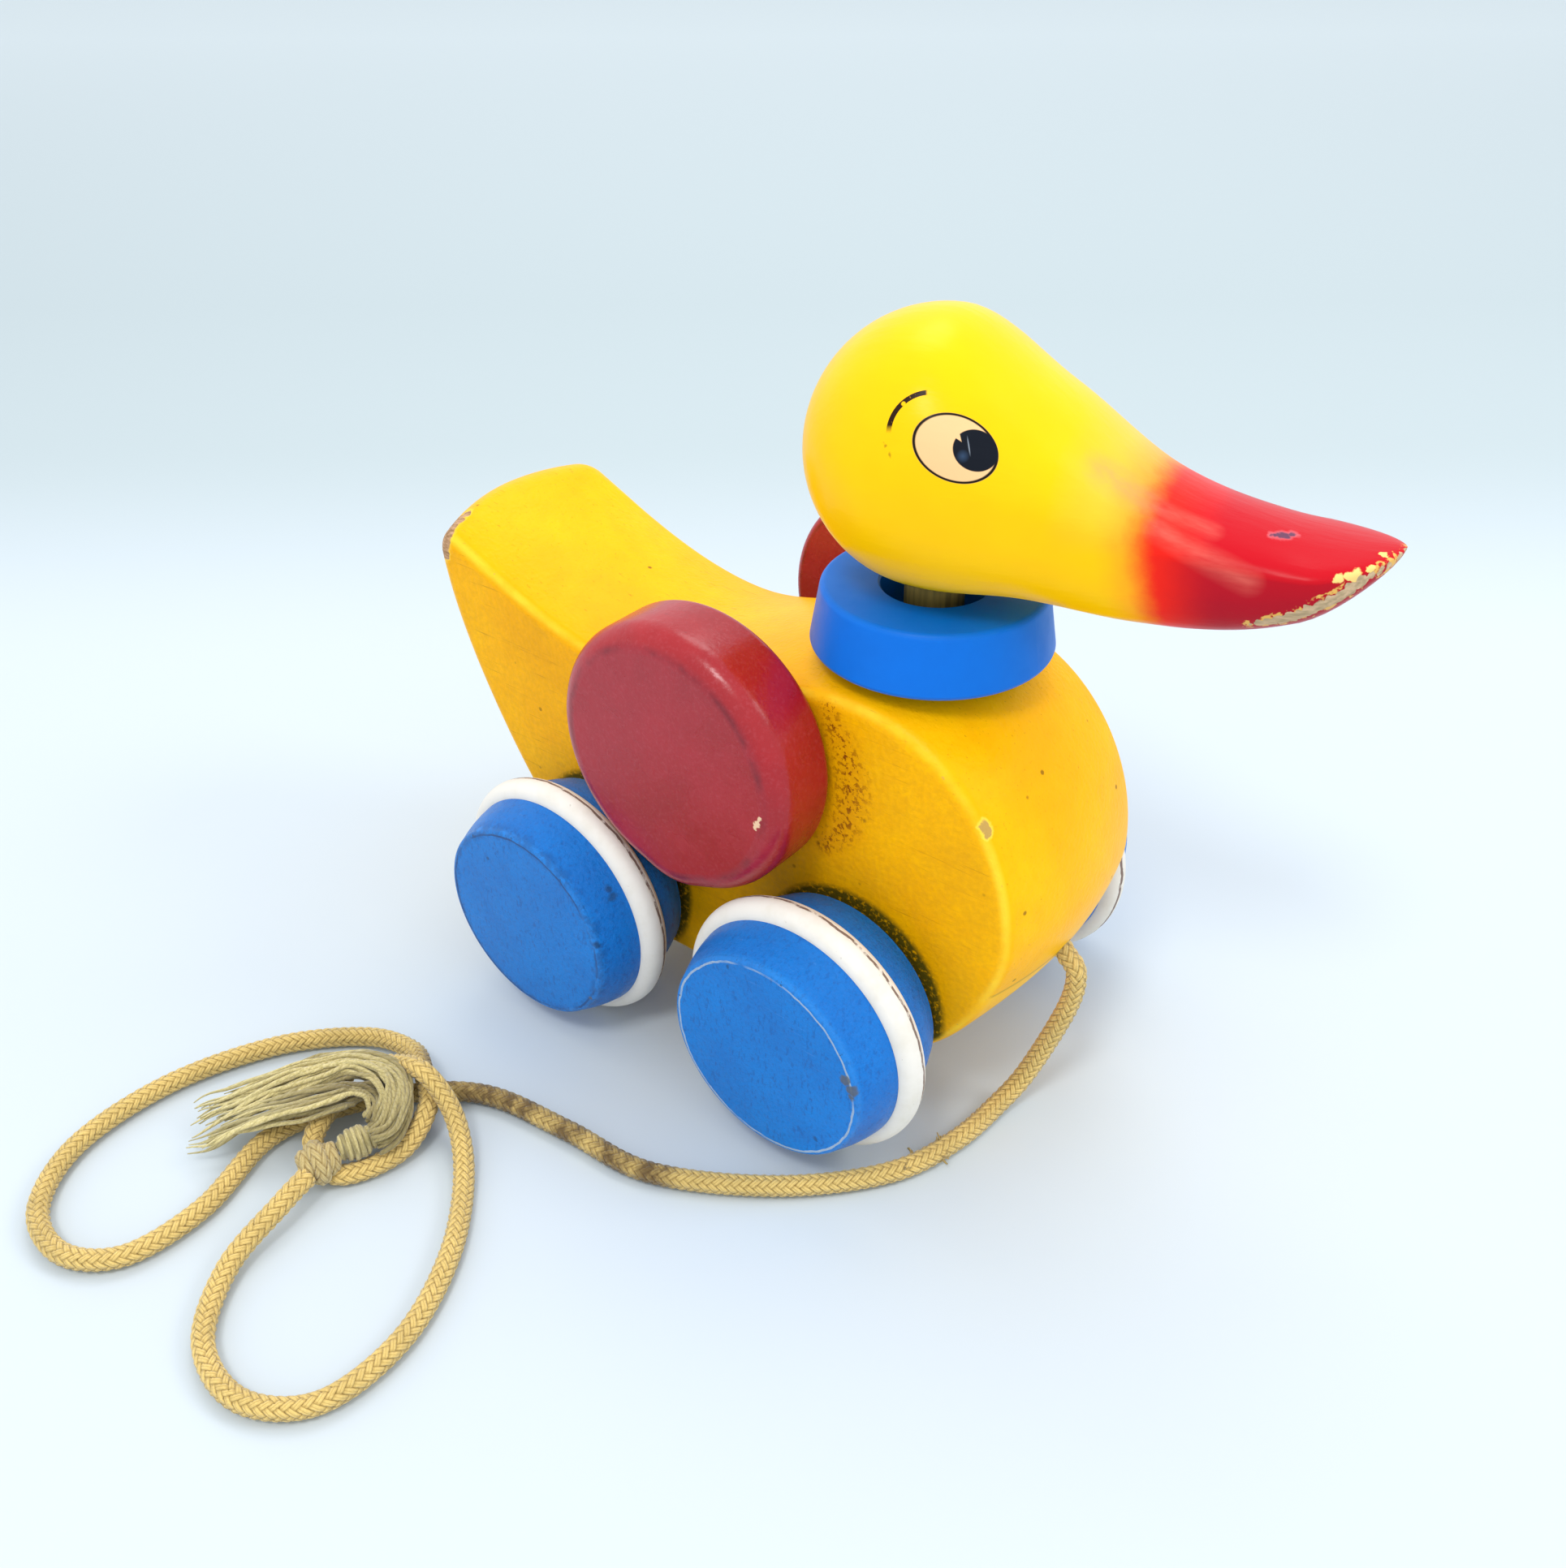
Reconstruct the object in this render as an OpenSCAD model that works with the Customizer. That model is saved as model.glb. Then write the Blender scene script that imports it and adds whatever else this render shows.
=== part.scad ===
// Pull-along duck: a crowned wooden body on four barrel wheels with rubber rings, two wings that turn
// together on one axle, a head on a neck dowel, a loose collar and a braided pull cord with a hand loop.
// X runs from tail to bill, Y to the duck's left and Z up. The floor is Z = 0 and X = 0 lies midway
// between the axles.

/* [Body] */
// Thickness of the body block, side to side
body_w = 42; // [36:1:48]
// Radius that eases the body's side edges
edge_r = 2.5; // [1:0.5:3]
// How far the breast, back and tail crown across the thickness
crown = 3; // [1:0.5:3.5]
// Height of the flat underside above the floor
keel_z = 11.5; // [9:0.5:14]
// Where the flat underside ends towards the breast
keel_front = 30; // [24:1:34]
// Where the flat underside ends towards the tail, behind the middle
keel_rear = 26; // [20:1:32]
// Reach of the breast ahead of the middle
breast_x = 62.8; // [58:0.2:68]
// Height of the foremost point of the breast
breast_z = 47; // [44:0.5:52]
// Where the shoulder is highest, ahead of the middle
shoulder_x = 28; // [24:0.5:32]
// Height of the shoulder, where the collar sits
shoulder_z = 85.5; // [82:0.5:90]
// Where the back is lowest, behind the middle
hollow_x = 23; // [18:0.5:28]
// Height of the back at its lowest
hollow_z = 74; // [70:0.5:77]
// Centre of the tail's rounded tip, behind the middle
tail_x = 70; // [64:0.5:78]
// Height of the centre of the tail's rounded tip
tail_z = 81.5; // [76:0.1:86]
// Radius of the tail's tip on the middle line
tail_r = 6.8; // [6.6:0.1:8]
// How far the tail's end bows out across the thickness
tail_bow = 2; // [0:0.5:3]

/* [Wheels] */
// Distance between the two axles
wheel_base = 58.4; // [56:0.2:66]
// Overall diameter over the rubber ring, which sets the axle height
tyre_d = 50; // [46:1:52]
// Thickness of the rubber ring's round section
tyre_t = 6; // [4:0.2:8]
// Thickness of a wheel
wheel_t = 22.7; // [18:0.1:26]
// Diameter of a wheel's flat faces
wheel_face_d = 39.2; // [34:0.2:40]
// Diameter of a wheel's barrel at the ring's groove
wheel_barrel_d = 45; // [42:0.2:45.6]
// Rounding of the wheel's face edges
wheel_edge_r = 0.8; // [0.4:0.1:1.2]
// Space between a wheel and the body's side
wheel_gap = 2.5; // [1.5:0.1:5]
// Diameter of the two axles
axle_d = 6; // [4:0.5:8]
// Wood left between the axle's end and the outer face of the wheel
wheel_wall = 5; // [3:0.5:8]

/* [Wings] */
// Height of the wing axle
wing_z = 69; // [67:0.5:72]
// Radius of the wing's round part
wing_r = 25.1; // [20:0.1:25.5]
// How far the round part's centre hangs below the wing axle
wing_drop = 1.5; // [0:0.1:1.8]
// Radius of the wing's lower lobe
lobe_r = 14; // [11:0.5:17]
// Thickness of a wing
wing_t = 14.5; // [10:0.5:17]
// Rounding of a wing's outer edge
wing_outer_r = 4.4; // [3:0.1:5]
// Rounding of a wing's inner edge
wing_inner_r = 2; // [1:0.1:2.5]
// Space between a wing and the body's side
wing_gap = 1; // [0.5:0.1:2]
// End play of the wing axle, all of it drawn on the duck's left
wing_play = 9.5; // [0:0.5:9.5]
// Space left between a turning wing and the rubber rings
wing_clear = 0.4; // [0.3:0.1:1]
// Diameter of the wing axle
wing_axle_d = 6; // [4:0.5:8]
// Wood left between the wing axle's end and the outer face of the wing
wing_wall = 4; // [3:0.5:6]

/* [Head] */
// Where the neck stands, ahead of the middle
neck_x = 29; // [25:0.5:33]
// Diameter of the neck dowel
neck_d = 10; // [8:0.5:12]
// Depth of the neck's socket in the body
neck_deep = 20; // [14:1:26]
// How far the neck reaches above the head's lowest point
neck_up = 22; // [14:1:28]
// How far the head is turned towards the duck's left
head_turn = 13; // [-60:1:60]
// Radius of the head's ball
head_r = 21.8; // [20:0.1:24]
// Length of the bill from the middle of the ball
bill_len = 69.5; // [60:0.5:76]
// Height of the bill's upper line above the ball's middle, at each quarter of its length
bill_top = [12.5, 1.6, -2.5, -3.7]; // [-10:0.1:20]
// Height of the bill's lower line above the ball's middle, at each quarter of its length
bill_under = [-19.6, -19.9, -17.4, -8.6]; // [-24:0.1:0]
// Half width of the bill at each quarter of its length
bill_half = [18.6, 14.1, 11.3, 11]; // [8:0.1:20]
// Length over which the bill's tip rounds off
tip_len = 11.5; // [6:0.5:16]
// How far the bill's upper line lifts at the tip
tip_lift = 0.8; // [0:0.1:2]
// Space between the collar and the head
head_gap = 1.2; // [0.6:0.1:3]

/* [Collar] */
// Diameter of the collar at its foot
collar_foot_d = 41; // [36:0.5:46]
// Diameter of the collar at its top
collar_top_d = 38; // [34:0.5:44]
// Diameter of the hole through the collar
collar_hole_d = 18; // [14:0.5:22]
// Height of the collar
collar_h = 11; // [8:0.5:14]
// Rounding of the collar's outer edges
collar_edge_r = 1.2; // [0.6:0.1:2]
// Space under the collar where it sits on the shoulder
collar_gap = 0.4; // [0.3:0.1:1]

/* [Cord] */
// Diameter of the braided cord
cord_d = 3.9; // [3.4:0.1:4.2]
// Depth of the cord's hole in the breast
cord_deep = 12; // [8:1:20]
// Slope of the cord's hole, down towards the front
cord_slope = 45; // [30:1:60]
// Height at which the cord leaves the breast
cord_z = 34; // [33:0.1:35]
// Diameter of the knot
knot_d = 9.4; // [8:0.1:10]
// Length of the knot
knot_len = 9; // [7:0.5:12]
// Diameter of the bound bulge behind the tassel
bulge_d = 7; // [6:0.2:8]
// Length of the bound bulge
bulge_len = 8; // [6:0.5:9]

/* [Fits] */
// Radial clearance of a shaft that turns in its hole
turn_fit = 0.05; // [0.02:0.01:0.1]
// Radial clearance of a glued or pressed joint
glue_fit = 0.02; // [0.01:0.01:0.05]
// Radial clearance round the cord in its hole
cord_fit = 0.1; // [0.05:0.05:0.4]

/* [Hidden] */
$fn = 96;

half_w = body_w / 2;
axle_x = wheel_base / 2;
axle_z = tyre_d / 2;
wheel_in = half_w + wheel_gap;
wheel_mid = wheel_in + wheel_t / 2;
wheel_bore_deep = wheel_t - wheel_wall;
tyre_ring_r = (tyre_d - tyre_t) / 2;
wing_in = half_w + wing_gap;
wing_bore_deep = wing_t - wing_wall;
// A wing's furthest point from its axle passes just clear of both rubber rings
wing_reach = norm([axle_x, wing_z - axle_z]) - tyre_d / 2 - wing_clear;
collar_z = shoulder_z + collar_gap;
head_low = collar_z + collar_h + head_gap;
head_z = head_low + head_r;

// Curve handles of the body's outline
back_handle = 16;
hollow_handle = 15;
rise_handle = 20;
breast_handle = 21.5;
chest_handle = 20;
belly_handle = 15;
bow_handle = 15.5;
keel_handle = 20;
stern_handle = 27;
tail_lean = 66;
crown_fade = 22;
bow_from = 30;
bow_slope = 0.6;
keel_cut = 0.8;

// The cord's route: down from the breast, out along the floor, round the hand loop and back to the knot
route = [[60.5, 0, 34], [63, 0, 30.5], [62.4, -0.8, 22.5], [58.2, -4.2, 8], [56, -10, 2.7],
    [54.5, -23, 2.2], [49.5, -36.5, 2.2], [36, -51, 2.2], [16.5, -62.5, 2.2], [-2, -64.5, 2.2],
    [-20, -67.5, 2.2], [-32, -76.5, 2.2], [-40, -88.5, 2.2], [-43, -100, 2.2], [-38.5, -116, 2.2],
    [-40, -130, 2.2], [-49, -136.5, 2.2], [-61, -133.5, 2.2], [-69, -121, 2.2], [-69, -102, 2.2],
    [-61.5, -83.5, 2.2], [-50, -71.5, 2.3], [-38.5, -69.5, 4.2], [-29.5, -73.8, 6.7], [-23.2, -78.5, 5.8],
    [-21.5, -87, 2.7], [-26, -97, 2.4], [-34, -96, 4], [-37, -89, 6.5], [-41, -81.5, 6.9],
    [-35, -77, 8.3], [-26.2, -76.1, 11.2], [-18, -76.8, 5.8], [-8.5, -83.5, 2.2], [2.5, -96.5, 2.2],
    [9, -112, 2.2], [8, -127, 2.2], [-2, -134.5, 2.2], [-15, -132, 2.2], [-24, -121, 2.8],
    [-26, -108.5, 5.2], [-27.2, -102, 5.6]];
knot_at = [-28.5, -98.8, 5.4];
bulge_from = [-27.3, -95, 6.2];
bulge_to = [-25, -89.5, 6.4];
// The tassel's middle line, with its half width and half thickness at each point
tassel_route = [[-24.9, -89.4, 6.3], [-24, -87.2, 7], [-25.6, -84, 8.6], [-28.8, -82, 10],
    [-32.7, -82, 10.8], [-36.7, -84.5, 11], [-39.5, -89, 10.4], [-43.5, -94, 9], [-48.3, -100, 6.6],
    [-52.5, -105, 4.4], [-55.5, -109, 2.6]];
tassel_w = [2.4, 3, 3.6, 4, 4.4, 4.8, 5, 5.2, 5.4, 5.2, 3.6];
tassel_t = [2.2, 2.4, 2.4, 2.3, 2.2, 2.2, 2.2, 2.1, 2, 1.8, 1.4];
cord_sides = 10;

function unit(v) = v / norm(v);

function bezier(a, b, c, d, n) = [for (i = [0 : n - 1]) let (t = i / n, s = 1 - t)
    s * s * s * a + 3 * s * s * t * b + 3 * s * t * t * c + t * t * t * d];

function arc(c, r, from, to, n) = [for (i = [0 : n]) let (a = from + (to - from) * i / n)
    c + r * [cos(a), sin(a)]];

// A cubic through the points p, with k steps to each span
function spline(p, k) = let (n = len(p) - 1) concat([for (i = [0 : n - 1], j = [0 : k - 1]) let (
    t = j / k, a = p[i], b = p[i + 1],
    m = i > 0 ? (b - p[i - 1]) / 2 : b - a,
    q = i < n - 1 ? (p[i + 2] - a) / 2 : b - a)
    (2 * t * t * t - 3 * t * t + 1) * a + (t * t * t - 2 * t * t + t) * m
    + (3 * t * t - 2 * t * t * t) * b + (t * t * t - t * t) * q], [p[n]]);

// A value on the smooth line through v at the share f of its length, level at its start
function along(v, f) = let (n = len(v) - 1, i = min(floor(f * n), n - 1), t = f * n - i,
    m = i > 0 ? (v[i + 1] - v[i - 1]) / 2 : 0,
    q = i < n - 1 ? (v[i + 2] - v[i]) / 2 : v[n] - v[n - 1])
    (2 * t * t * t - 3 * t * t + 1) * v[i] + (t * t * t - 2 * t * t + t) * m
    + (3 * t * t - 2 * t * t * t) * v[i + 1] + (t * t * t - t * t) * q;

// Outward directions of a closed outline that runs clockwise
function outward(p) = let (n = len(p)) [for (i = [0 : n - 1])
    let (d = unit(p[(i + 1) % n] - p[(i + n - 1) % n])) [-d[1], d[0]]];

// A closed skin over rings of equal length, each end closed by a fan about the middle of its ring
function middle(r) = [for (k = [0 : 2]) [for (p = r) p[k]] * [for (p = r) 1 / len(r)]];

module skin(rings) {
    n = len(rings[0]);
    m = len(rings);
    points = concat([for (r = rings) for (p = r) p], [middle(rings[0]), middle(rings[m - 1])]);
    sides = [for (i = [0 : m - 2], j = [0 : n - 1]) let (k = (j + 1) % n)
        [[i * n + j, i * n + k, (i + 1) * n + k], [i * n + j, (i + 1) * n + k, (i + 1) * n + j]]];
    faces = concat([for (s = sides) for (f = s) f],
        [for (j = [0 : n - 1]) [m * n, (j + 1) % n, j]],
        [for (j = [0 : n - 1]) [m * n + 1, (m - 1) * n + j, (m - 1) * n + (j + 1) % n]]);
    polyhedron(points, faces, convexity = 8);
}

// Directions along a line of points, with a side direction carried along it without twist or kept level
function headings(p) = let (n = len(p) - 1)
    [for (i = [0 : n]) unit(p[min(i + 1, n)] - p[max(i - 1, 0)])];

function carried(t, start) = [for (i = 0, u = unit(cross(t[0], start)); i < len(t);
    i = i + 1, u = i < len(t) ? unit(u - (u * t[i]) * t[i]) : u) u];

function level(t) = [for (d = t) unit(cross(d, [0, 0, -1]))];

// A tube or flat strand along points p, with side directions u, half widths w and half thicknesses h
module strand(p, u, w, h, sides) {
    t = headings(p);
    skin([for (i = [0 : len(p) - 1]) [for (j = [0 : sides - 1]) let (a = -360 * j / sides)
        p[i] + w[i] * cos(a) * u[i] + h[i] * sin(a) * cross(t[i], u[i])]]);
}

// Body outline on the middle line, clockwise from the top of the tail
tail_c = [-tail_x, tail_z];
tail_top = tail_c + tail_r * [cos(tail_lean), sin(tail_lean)];
tail_end = tail_c - [tail_r, 0];
hollow = [-hollow_x, hollow_z];
shoulder = [shoulder_x, shoulder_z];
breast = [breast_x, breast_z];
keel_a = [keel_front, keel_z - keel_cut];
keel_b = [-keel_rear, keel_z - keel_cut];
outline = concat(
    bezier(tail_top, tail_top + back_handle * [sin(tail_lean), -cos(tail_lean)],
        hollow - [hollow_handle, 0], hollow, 9),
    bezier(hollow, hollow + [hollow_handle, 0], shoulder - [rise_handle, 0], shoulder, 9),
    bezier(shoulder, shoulder + [breast_handle, 0], breast + [0, chest_handle], breast, 12),
    bezier(breast, breast - [0, belly_handle], keel_a + [bow_handle, 0], keel_a, 10),
    bezier(keel_a, keel_a, keel_b, keel_b, 4),
    bezier(keel_b, keel_b - [keel_handle, 0], tail_end + [2.5, -stern_handle], tail_end, 12),
    arc(tail_c, tail_r, 180, tail_lean + 14, 6));
out_dir = outward(outline);

// Stations across the thickness: place and how far the eased edge draws the outline in
edge_steps = 5;
rim = [for (i = [0 : edge_steps]) let (a = 90 * i / edge_steps)
    [-half_w + edge_r * (1 - cos(a)), edge_r * (1 - sin(a))]];
inner = half_w - edge_r;
across = concat(rim, [for (f = [-0.75, -0.5, -0.25, 0, 0.25, 0.5, 0.75]) [f * inner, 0]],
    [for (i = [edge_steps : -1 : 0]) [-rim[i][0], rim[i][1]]]);

function crown_at(y, z) = crown * pow(y / half_w, 2) * max(0, min(1, (z - keel_z) / crown_fade));

// The tail's end draws forward and down towards the sides
function bow_at(y, x) = let (t = max(0, min(1, (-x - bow_from) / (tail_x - bow_from))))
    tail_bow * pow(y / half_w, 2) * t * t * (3 - 2 * t) * [1, -bow_slope];

module body() {
    color("gold") difference() {
        skin([for (s = across) [for (i = [0 : len(outline) - 1]) let (
            drawn_in = s[1] + crown_at(s[0], outline[i][1]),
            p = outline[i] - out_dir[i] * drawn_in + bow_at(s[0], outline[i][0]))
            [p[0], s[0], p[1]]]]);
        translate([-keel_rear - keel_handle, -body_w, keel_z - 10])
            cube([keel_front + keel_rear + 2 * keel_handle, 2 * body_w, 10]);
        for (x = [-axle_x, axle_x]) shaft(x, axle_z, axle_d / 2 + turn_fit, body_w + 2);
        shaft(0, wing_z, wing_axle_d / 2 + turn_fit, body_w + 2);
        translate([neck_x, 0, shoulder_z - neck_deep])
            cylinder(r = neck_d / 2 + glue_fit, h = neck_deep + 5);
        translate([route[0][0], 0, cord_z]) rotate([0, cord_slope - 90, 0])
            translate([0, 0, -8]) cylinder(r = cord_d / 2 + cord_fit, h = cord_deep + 8);
    }
}

// A round bar across the duck, centred on the middle line
module shaft(x, z, r, length) {
    translate([x, length / 2, z]) rotate([90, 0, 0]) cylinder(r = r, h = length);
}

module neck_dowel() {
    color("burlywood") translate([neck_x, 0, shoulder_z - neck_deep])
        cylinder(r = neck_d / 2, h = neck_deep + head_low - shoulder_z + neck_up - turn_fit);
}

module collar() {
    foot = collar_foot_d / 2;
    top = collar_top_d / 2;
    hole = collar_hole_d / 2;
    r = collar_edge_r;
    color("royalblue") translate([neck_x, 0, collar_z]) rotate_extrude()
        polygon(concat(
            [[hole + 0.4, 0]],
            arc([foot - r, r], r, -90, -8, 5),
            arc([top - r, collar_h - r], r, 8, 90, 5),
            [[hole + 0.4, collar_h], [hole, collar_h - 0.4], [hole, 0.4]]));
}

// Section of the head and bill at the distance s ahead of the ball's middle
head_points = 28;
tip_steps = [0.3, 0.55, 0.75, 0.9, 0.98];
head_stations = concat([for (a = [84 : -12 : 0]) -head_r * sin(a)],
    [for (i = [1 : 11]) (bill_len - tip_len) * i / 11],
    [for (q = tip_steps) bill_len - tip_len * (1 - q)]);

function signed(v, e) = sign(v) * pow(abs(v), e);

function head_ring(s) = let (
    f = max(0, s) / bill_len,
    q = max(0, (s - bill_len + tip_len) / tip_len),
    g = min(1, f / 0.6),
    ball = s < 0 ? sqrt(max(0, head_r * head_r - s * s)) : head_r,
    top = s < 0 ? ball : along(concat([head_r], bill_top), f) + tip_lift * q * q,
    low = s < 0 ? -ball : along(concat([-head_r], bill_under), f),
    wide = (s < 0 ? ball : along(concat([head_r], bill_half), f)) * pow(1 - pow(q, 1.5), 2 / 3),
    thick = (top - low) * pow(1 - pow(q, 2.2), 0.6),
    crest = thick * (0.5 - 0.22 * g * g * (3 - 2 * g)),
    boxy = 2 / (2 + g))
    [for (j = [0 : head_points - 1]) let (a = 360 * j / head_points, up = sin(a) > 0)
        [s, wide * signed(cos(a), up ? 1 : boxy),
            top - crest + (up ? crest : thick - crest) * signed(sin(a), up ? 1 : boxy)]];

module head() {
    color("gold") translate([neck_x, 0, head_z]) rotate([0, 0, head_turn]) difference() {
        skin([for (s = head_stations) head_ring(s)]);
        translate([0, 0, -head_r - 1]) cylinder(r = neck_d / 2 + turn_fit, h = neck_up + 1);
    }
}

// Outline of a wing about its axle, drawn in by d: the tight loop round a big and a small circle
lobe_drop = wing_reach - lobe_r;
lean = asin((wing_r - lobe_r) / (lobe_drop - wing_drop));
function egg(d) = concat(arc([0, -wing_drop], wing_r - d, 180 + lean, -lean, 30),
    arc([0, -lobe_drop], lobe_r - d, -lean, lean - 180, 17));

function wing_steps(r, n, y, way) = [for (i = [0 : n]) let (a = 90 * i / n)
    [y + way * r * (1 - cos(a)), r * (1 - sin(a))]];

wing_stations = concat(wing_steps(wing_inner_r, 4, 0, 1),
    [for (i = [6 : -1 : 0]) wing_steps(wing_outer_r, 6, wing_t, -1)[i]]);

module wing(side, in) {
    last = len(wing_stations) - 1;
    color("crimson") translate([0, side * in, wing_z]) difference() {
        skin([for (i = [0 : last]) let (w = wing_stations[side > 0 ? i : last - i])
            [for (p = egg(w[1])) [p[0], side * w[0], p[1]]]]);
        rotate([-90 * side, 0, 0]) translate([0, 0, -1])
            cylinder(r = wing_axle_d / 2 + glue_fit, h = wing_bore_deep + 1);
    }
}

module right_wing() wing(-1, wing_in);

module left_wing() wing(1, wing_in + wing_play);

module wing_axle() {
    color("silver") translate([0, wing_play / 2, 0])
        shaft(0, wing_z, wing_axle_d / 2, 2 * (wing_in + wing_bore_deep - glue_fit) + wing_play);
}

module front_axle() {
    color("silver") shaft(axle_x, axle_z, axle_d / 2, 2 * (wheel_in + wheel_bore_deep - glue_fit));
}

module rear_axle() {
    color("silver") shaft(-axle_x, axle_z, axle_d / 2, 2 * (wheel_in + wheel_bore_deep - glue_fit));
}

// Barrel wheel about the Y axis, with its groove and the blind hole for its axle
barrel_steps = 6;
function barrel(y) = wheel_face_d / 2
    + (wheel_barrel_d - wheel_face_d) / 2 * (1 - pow(2 * y / wheel_t, 2));

module wheel(x, side) {
    h = wheel_t / 2;
    r = wheel_edge_r;
    rise = barrel(h - r);
    side_line = [for (i = [-barrel_steps : barrel_steps]) let (y = (h - r) * i / barrel_steps)
        [barrel(y), y]];
    color("gold") translate([x, side * wheel_mid, axle_z]) rotate([-90 * side, 0, 0]) difference() {
        rotate_extrude() polygon(concat([[0, -h]], arc([rise - r, -h + r], r, -90, -20, 4), side_line,
            arc([rise - r, h - r], r, 20, 90, 4), [[0, h]]));
        rotate_extrude() translate([tyre_ring_r, 0]) circle(r = tyre_t / 2 + glue_fit);
        translate([0, 0, -h - 1]) cylinder(r = axle_d / 2 + glue_fit, h = wheel_bore_deep + 1);
    }
}

module tyre(x, side) {
    color("ivory") translate([x, side * wheel_mid, axle_z]) rotate([-90 * side, 0, 0])
        rotate_extrude() translate([tyre_ring_r, 0]) circle(r = tyre_t / 2);
}

module front_right_wheel() wheel(axle_x, -1);

module front_left_wheel() wheel(axle_x, 1);

module rear_right_wheel() wheel(-axle_x, -1);

module rear_left_wheel() wheel(-axle_x, 1);

module front_right_tyre() tyre(axle_x, -1);

module front_left_tyre() tyre(axle_x, 1);

module rear_right_tyre() tyre(-axle_x, -1);

module rear_left_tyre() tyre(-axle_x, 1);

// The cord starts inside its hole and follows the route
cord_start = [route[0][0], 0, cord_z] + (cord_deep - 1) * [-cos(cord_slope), 0, sin(cord_slope)];
cord_line = concat([cord_start, [route[0][0], 0, cord_z]],
    [for (i = [1 : len(spline(route, 2)) - 1]) spline(route, 2)[i]]);

module pull_cord() {
    r = [for (p = cord_line) cord_d / 2];
    color("goldenrod") strand(cord_line, carried(headings(cord_line), [0, 1, 0]), r, r, cord_sides);
}

// A plump bead whose axis points along d
module bead(at, d, r, length) {
    n = 8;
    u = unit(d);
    color("goldenrod") translate(at) rotate([0, acos(u[2]), atan2(u[1], u[0])]) rotate_extrude()
        polygon(concat([[0, -length / 2]],
            [for (i = [0 : n]) let (y = -0.94 + 1.88 * i / n) [r * sqrt(1 - pow(y, 4)), y * length / 2]],
            [[0, length / 2]]));
}

module loop_knot() {
    bead(knot_at, [0.2, 1, 0.1], knot_d / 2, knot_len);
}

module cord_whipping() {
    bead((bulge_from + bulge_to) / 2, bulge_to - bulge_from, bulge_d / 2, bulge_len);
}

module cord_tassel() {
    line = spline(tassel_route, 2);
    color("goldenrod") strand(line, level(headings(line)), spline(tassel_w, 2), spline(tassel_t, 2), 12);
}

body();
neck_dowel();
collar();
head();
right_wing();
left_wing();
wing_axle();
front_axle();
rear_axle();
front_right_wheel();
front_left_wheel();
rear_right_wheel();
rear_left_wheel();
front_right_tyre();
front_left_tyre();
rear_right_tyre();
rear_left_tyre();
pull_cord();
loop_knot();
cord_whipping();
cord_tassel();
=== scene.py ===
"""Builds the looks of a painted wooden pull-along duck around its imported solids.

Sizes in the shape tables are millimetres: X runs from tail to bill, Y to the duck's left and Z up from
the floor.
"""

import math
import random

import bmesh
import bpy
import numpy as np
from mathutils import Matrix, Vector


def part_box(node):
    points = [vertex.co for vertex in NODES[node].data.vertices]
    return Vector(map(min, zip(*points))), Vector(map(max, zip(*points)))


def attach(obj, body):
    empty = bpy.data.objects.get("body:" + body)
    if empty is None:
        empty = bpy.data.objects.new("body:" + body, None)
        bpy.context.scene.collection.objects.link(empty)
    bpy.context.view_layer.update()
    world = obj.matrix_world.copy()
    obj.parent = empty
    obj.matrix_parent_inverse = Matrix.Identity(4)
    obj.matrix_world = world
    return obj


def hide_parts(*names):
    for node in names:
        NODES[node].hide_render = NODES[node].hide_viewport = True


bl_info = {
    "name": "Pull-along Duck",
    "version": (1, 0, 0),
    "blender": (4, 5, 0),
    "location": "View3D > Sidebar > Duck",
    "description": "Models and paints a wooden pull-along duck on its packed solids",
    "category": "Add Mesh",
}

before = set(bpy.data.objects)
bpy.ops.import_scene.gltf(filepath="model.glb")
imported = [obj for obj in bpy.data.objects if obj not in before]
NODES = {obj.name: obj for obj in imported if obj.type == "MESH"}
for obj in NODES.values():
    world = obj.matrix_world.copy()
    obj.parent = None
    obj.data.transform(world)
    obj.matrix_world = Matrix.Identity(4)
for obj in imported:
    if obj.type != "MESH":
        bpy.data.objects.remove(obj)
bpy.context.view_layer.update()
MM = 0.001


def tint(code):
    """Linear colour of an sRGB hex value."""
    parts = [int(code[i : i + 2], 16) / 255 for i in (1, 3, 5)]
    return tuple(p / 12.92 if p <= 0.04045 else ((p + 0.055) / 1.055) ** 2.4 for p in parts) + (1.0,)


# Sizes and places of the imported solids, in mm
HALF_W = (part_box("body")[1].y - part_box("body")[0].y) / MM / 2
KEEL_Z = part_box("body")[0].z / MM
NECK_X = 29.0
HEAD_AT = (NECK_X, 0.0, 119.9)
HEAD_TURN = math.radians(13)
HEAD_R = 21.8
AXLE_X, AXLE_Z = 29.2, 25.0
TYRE_R = 25.0
WING_Z = 69.0

# Sides of a drilled hole, and how far a drill starts outside the wood in mm
BORE_SIDES, OVERRUN = 64, 1.0


def length_setting(name, description, default):
    """A length in metres that the panel offers."""
    return bpy.props.FloatProperty(name=name, description=description, default=default, unit="LENGTH")


def colour_setting(name, description, code):
    """A colour that the panel offers, from its sRGB hex value."""
    return bpy.props.FloatVectorProperty(
        name=name, description=description, default=tint(code), subtype="COLOR", size=4)


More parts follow.
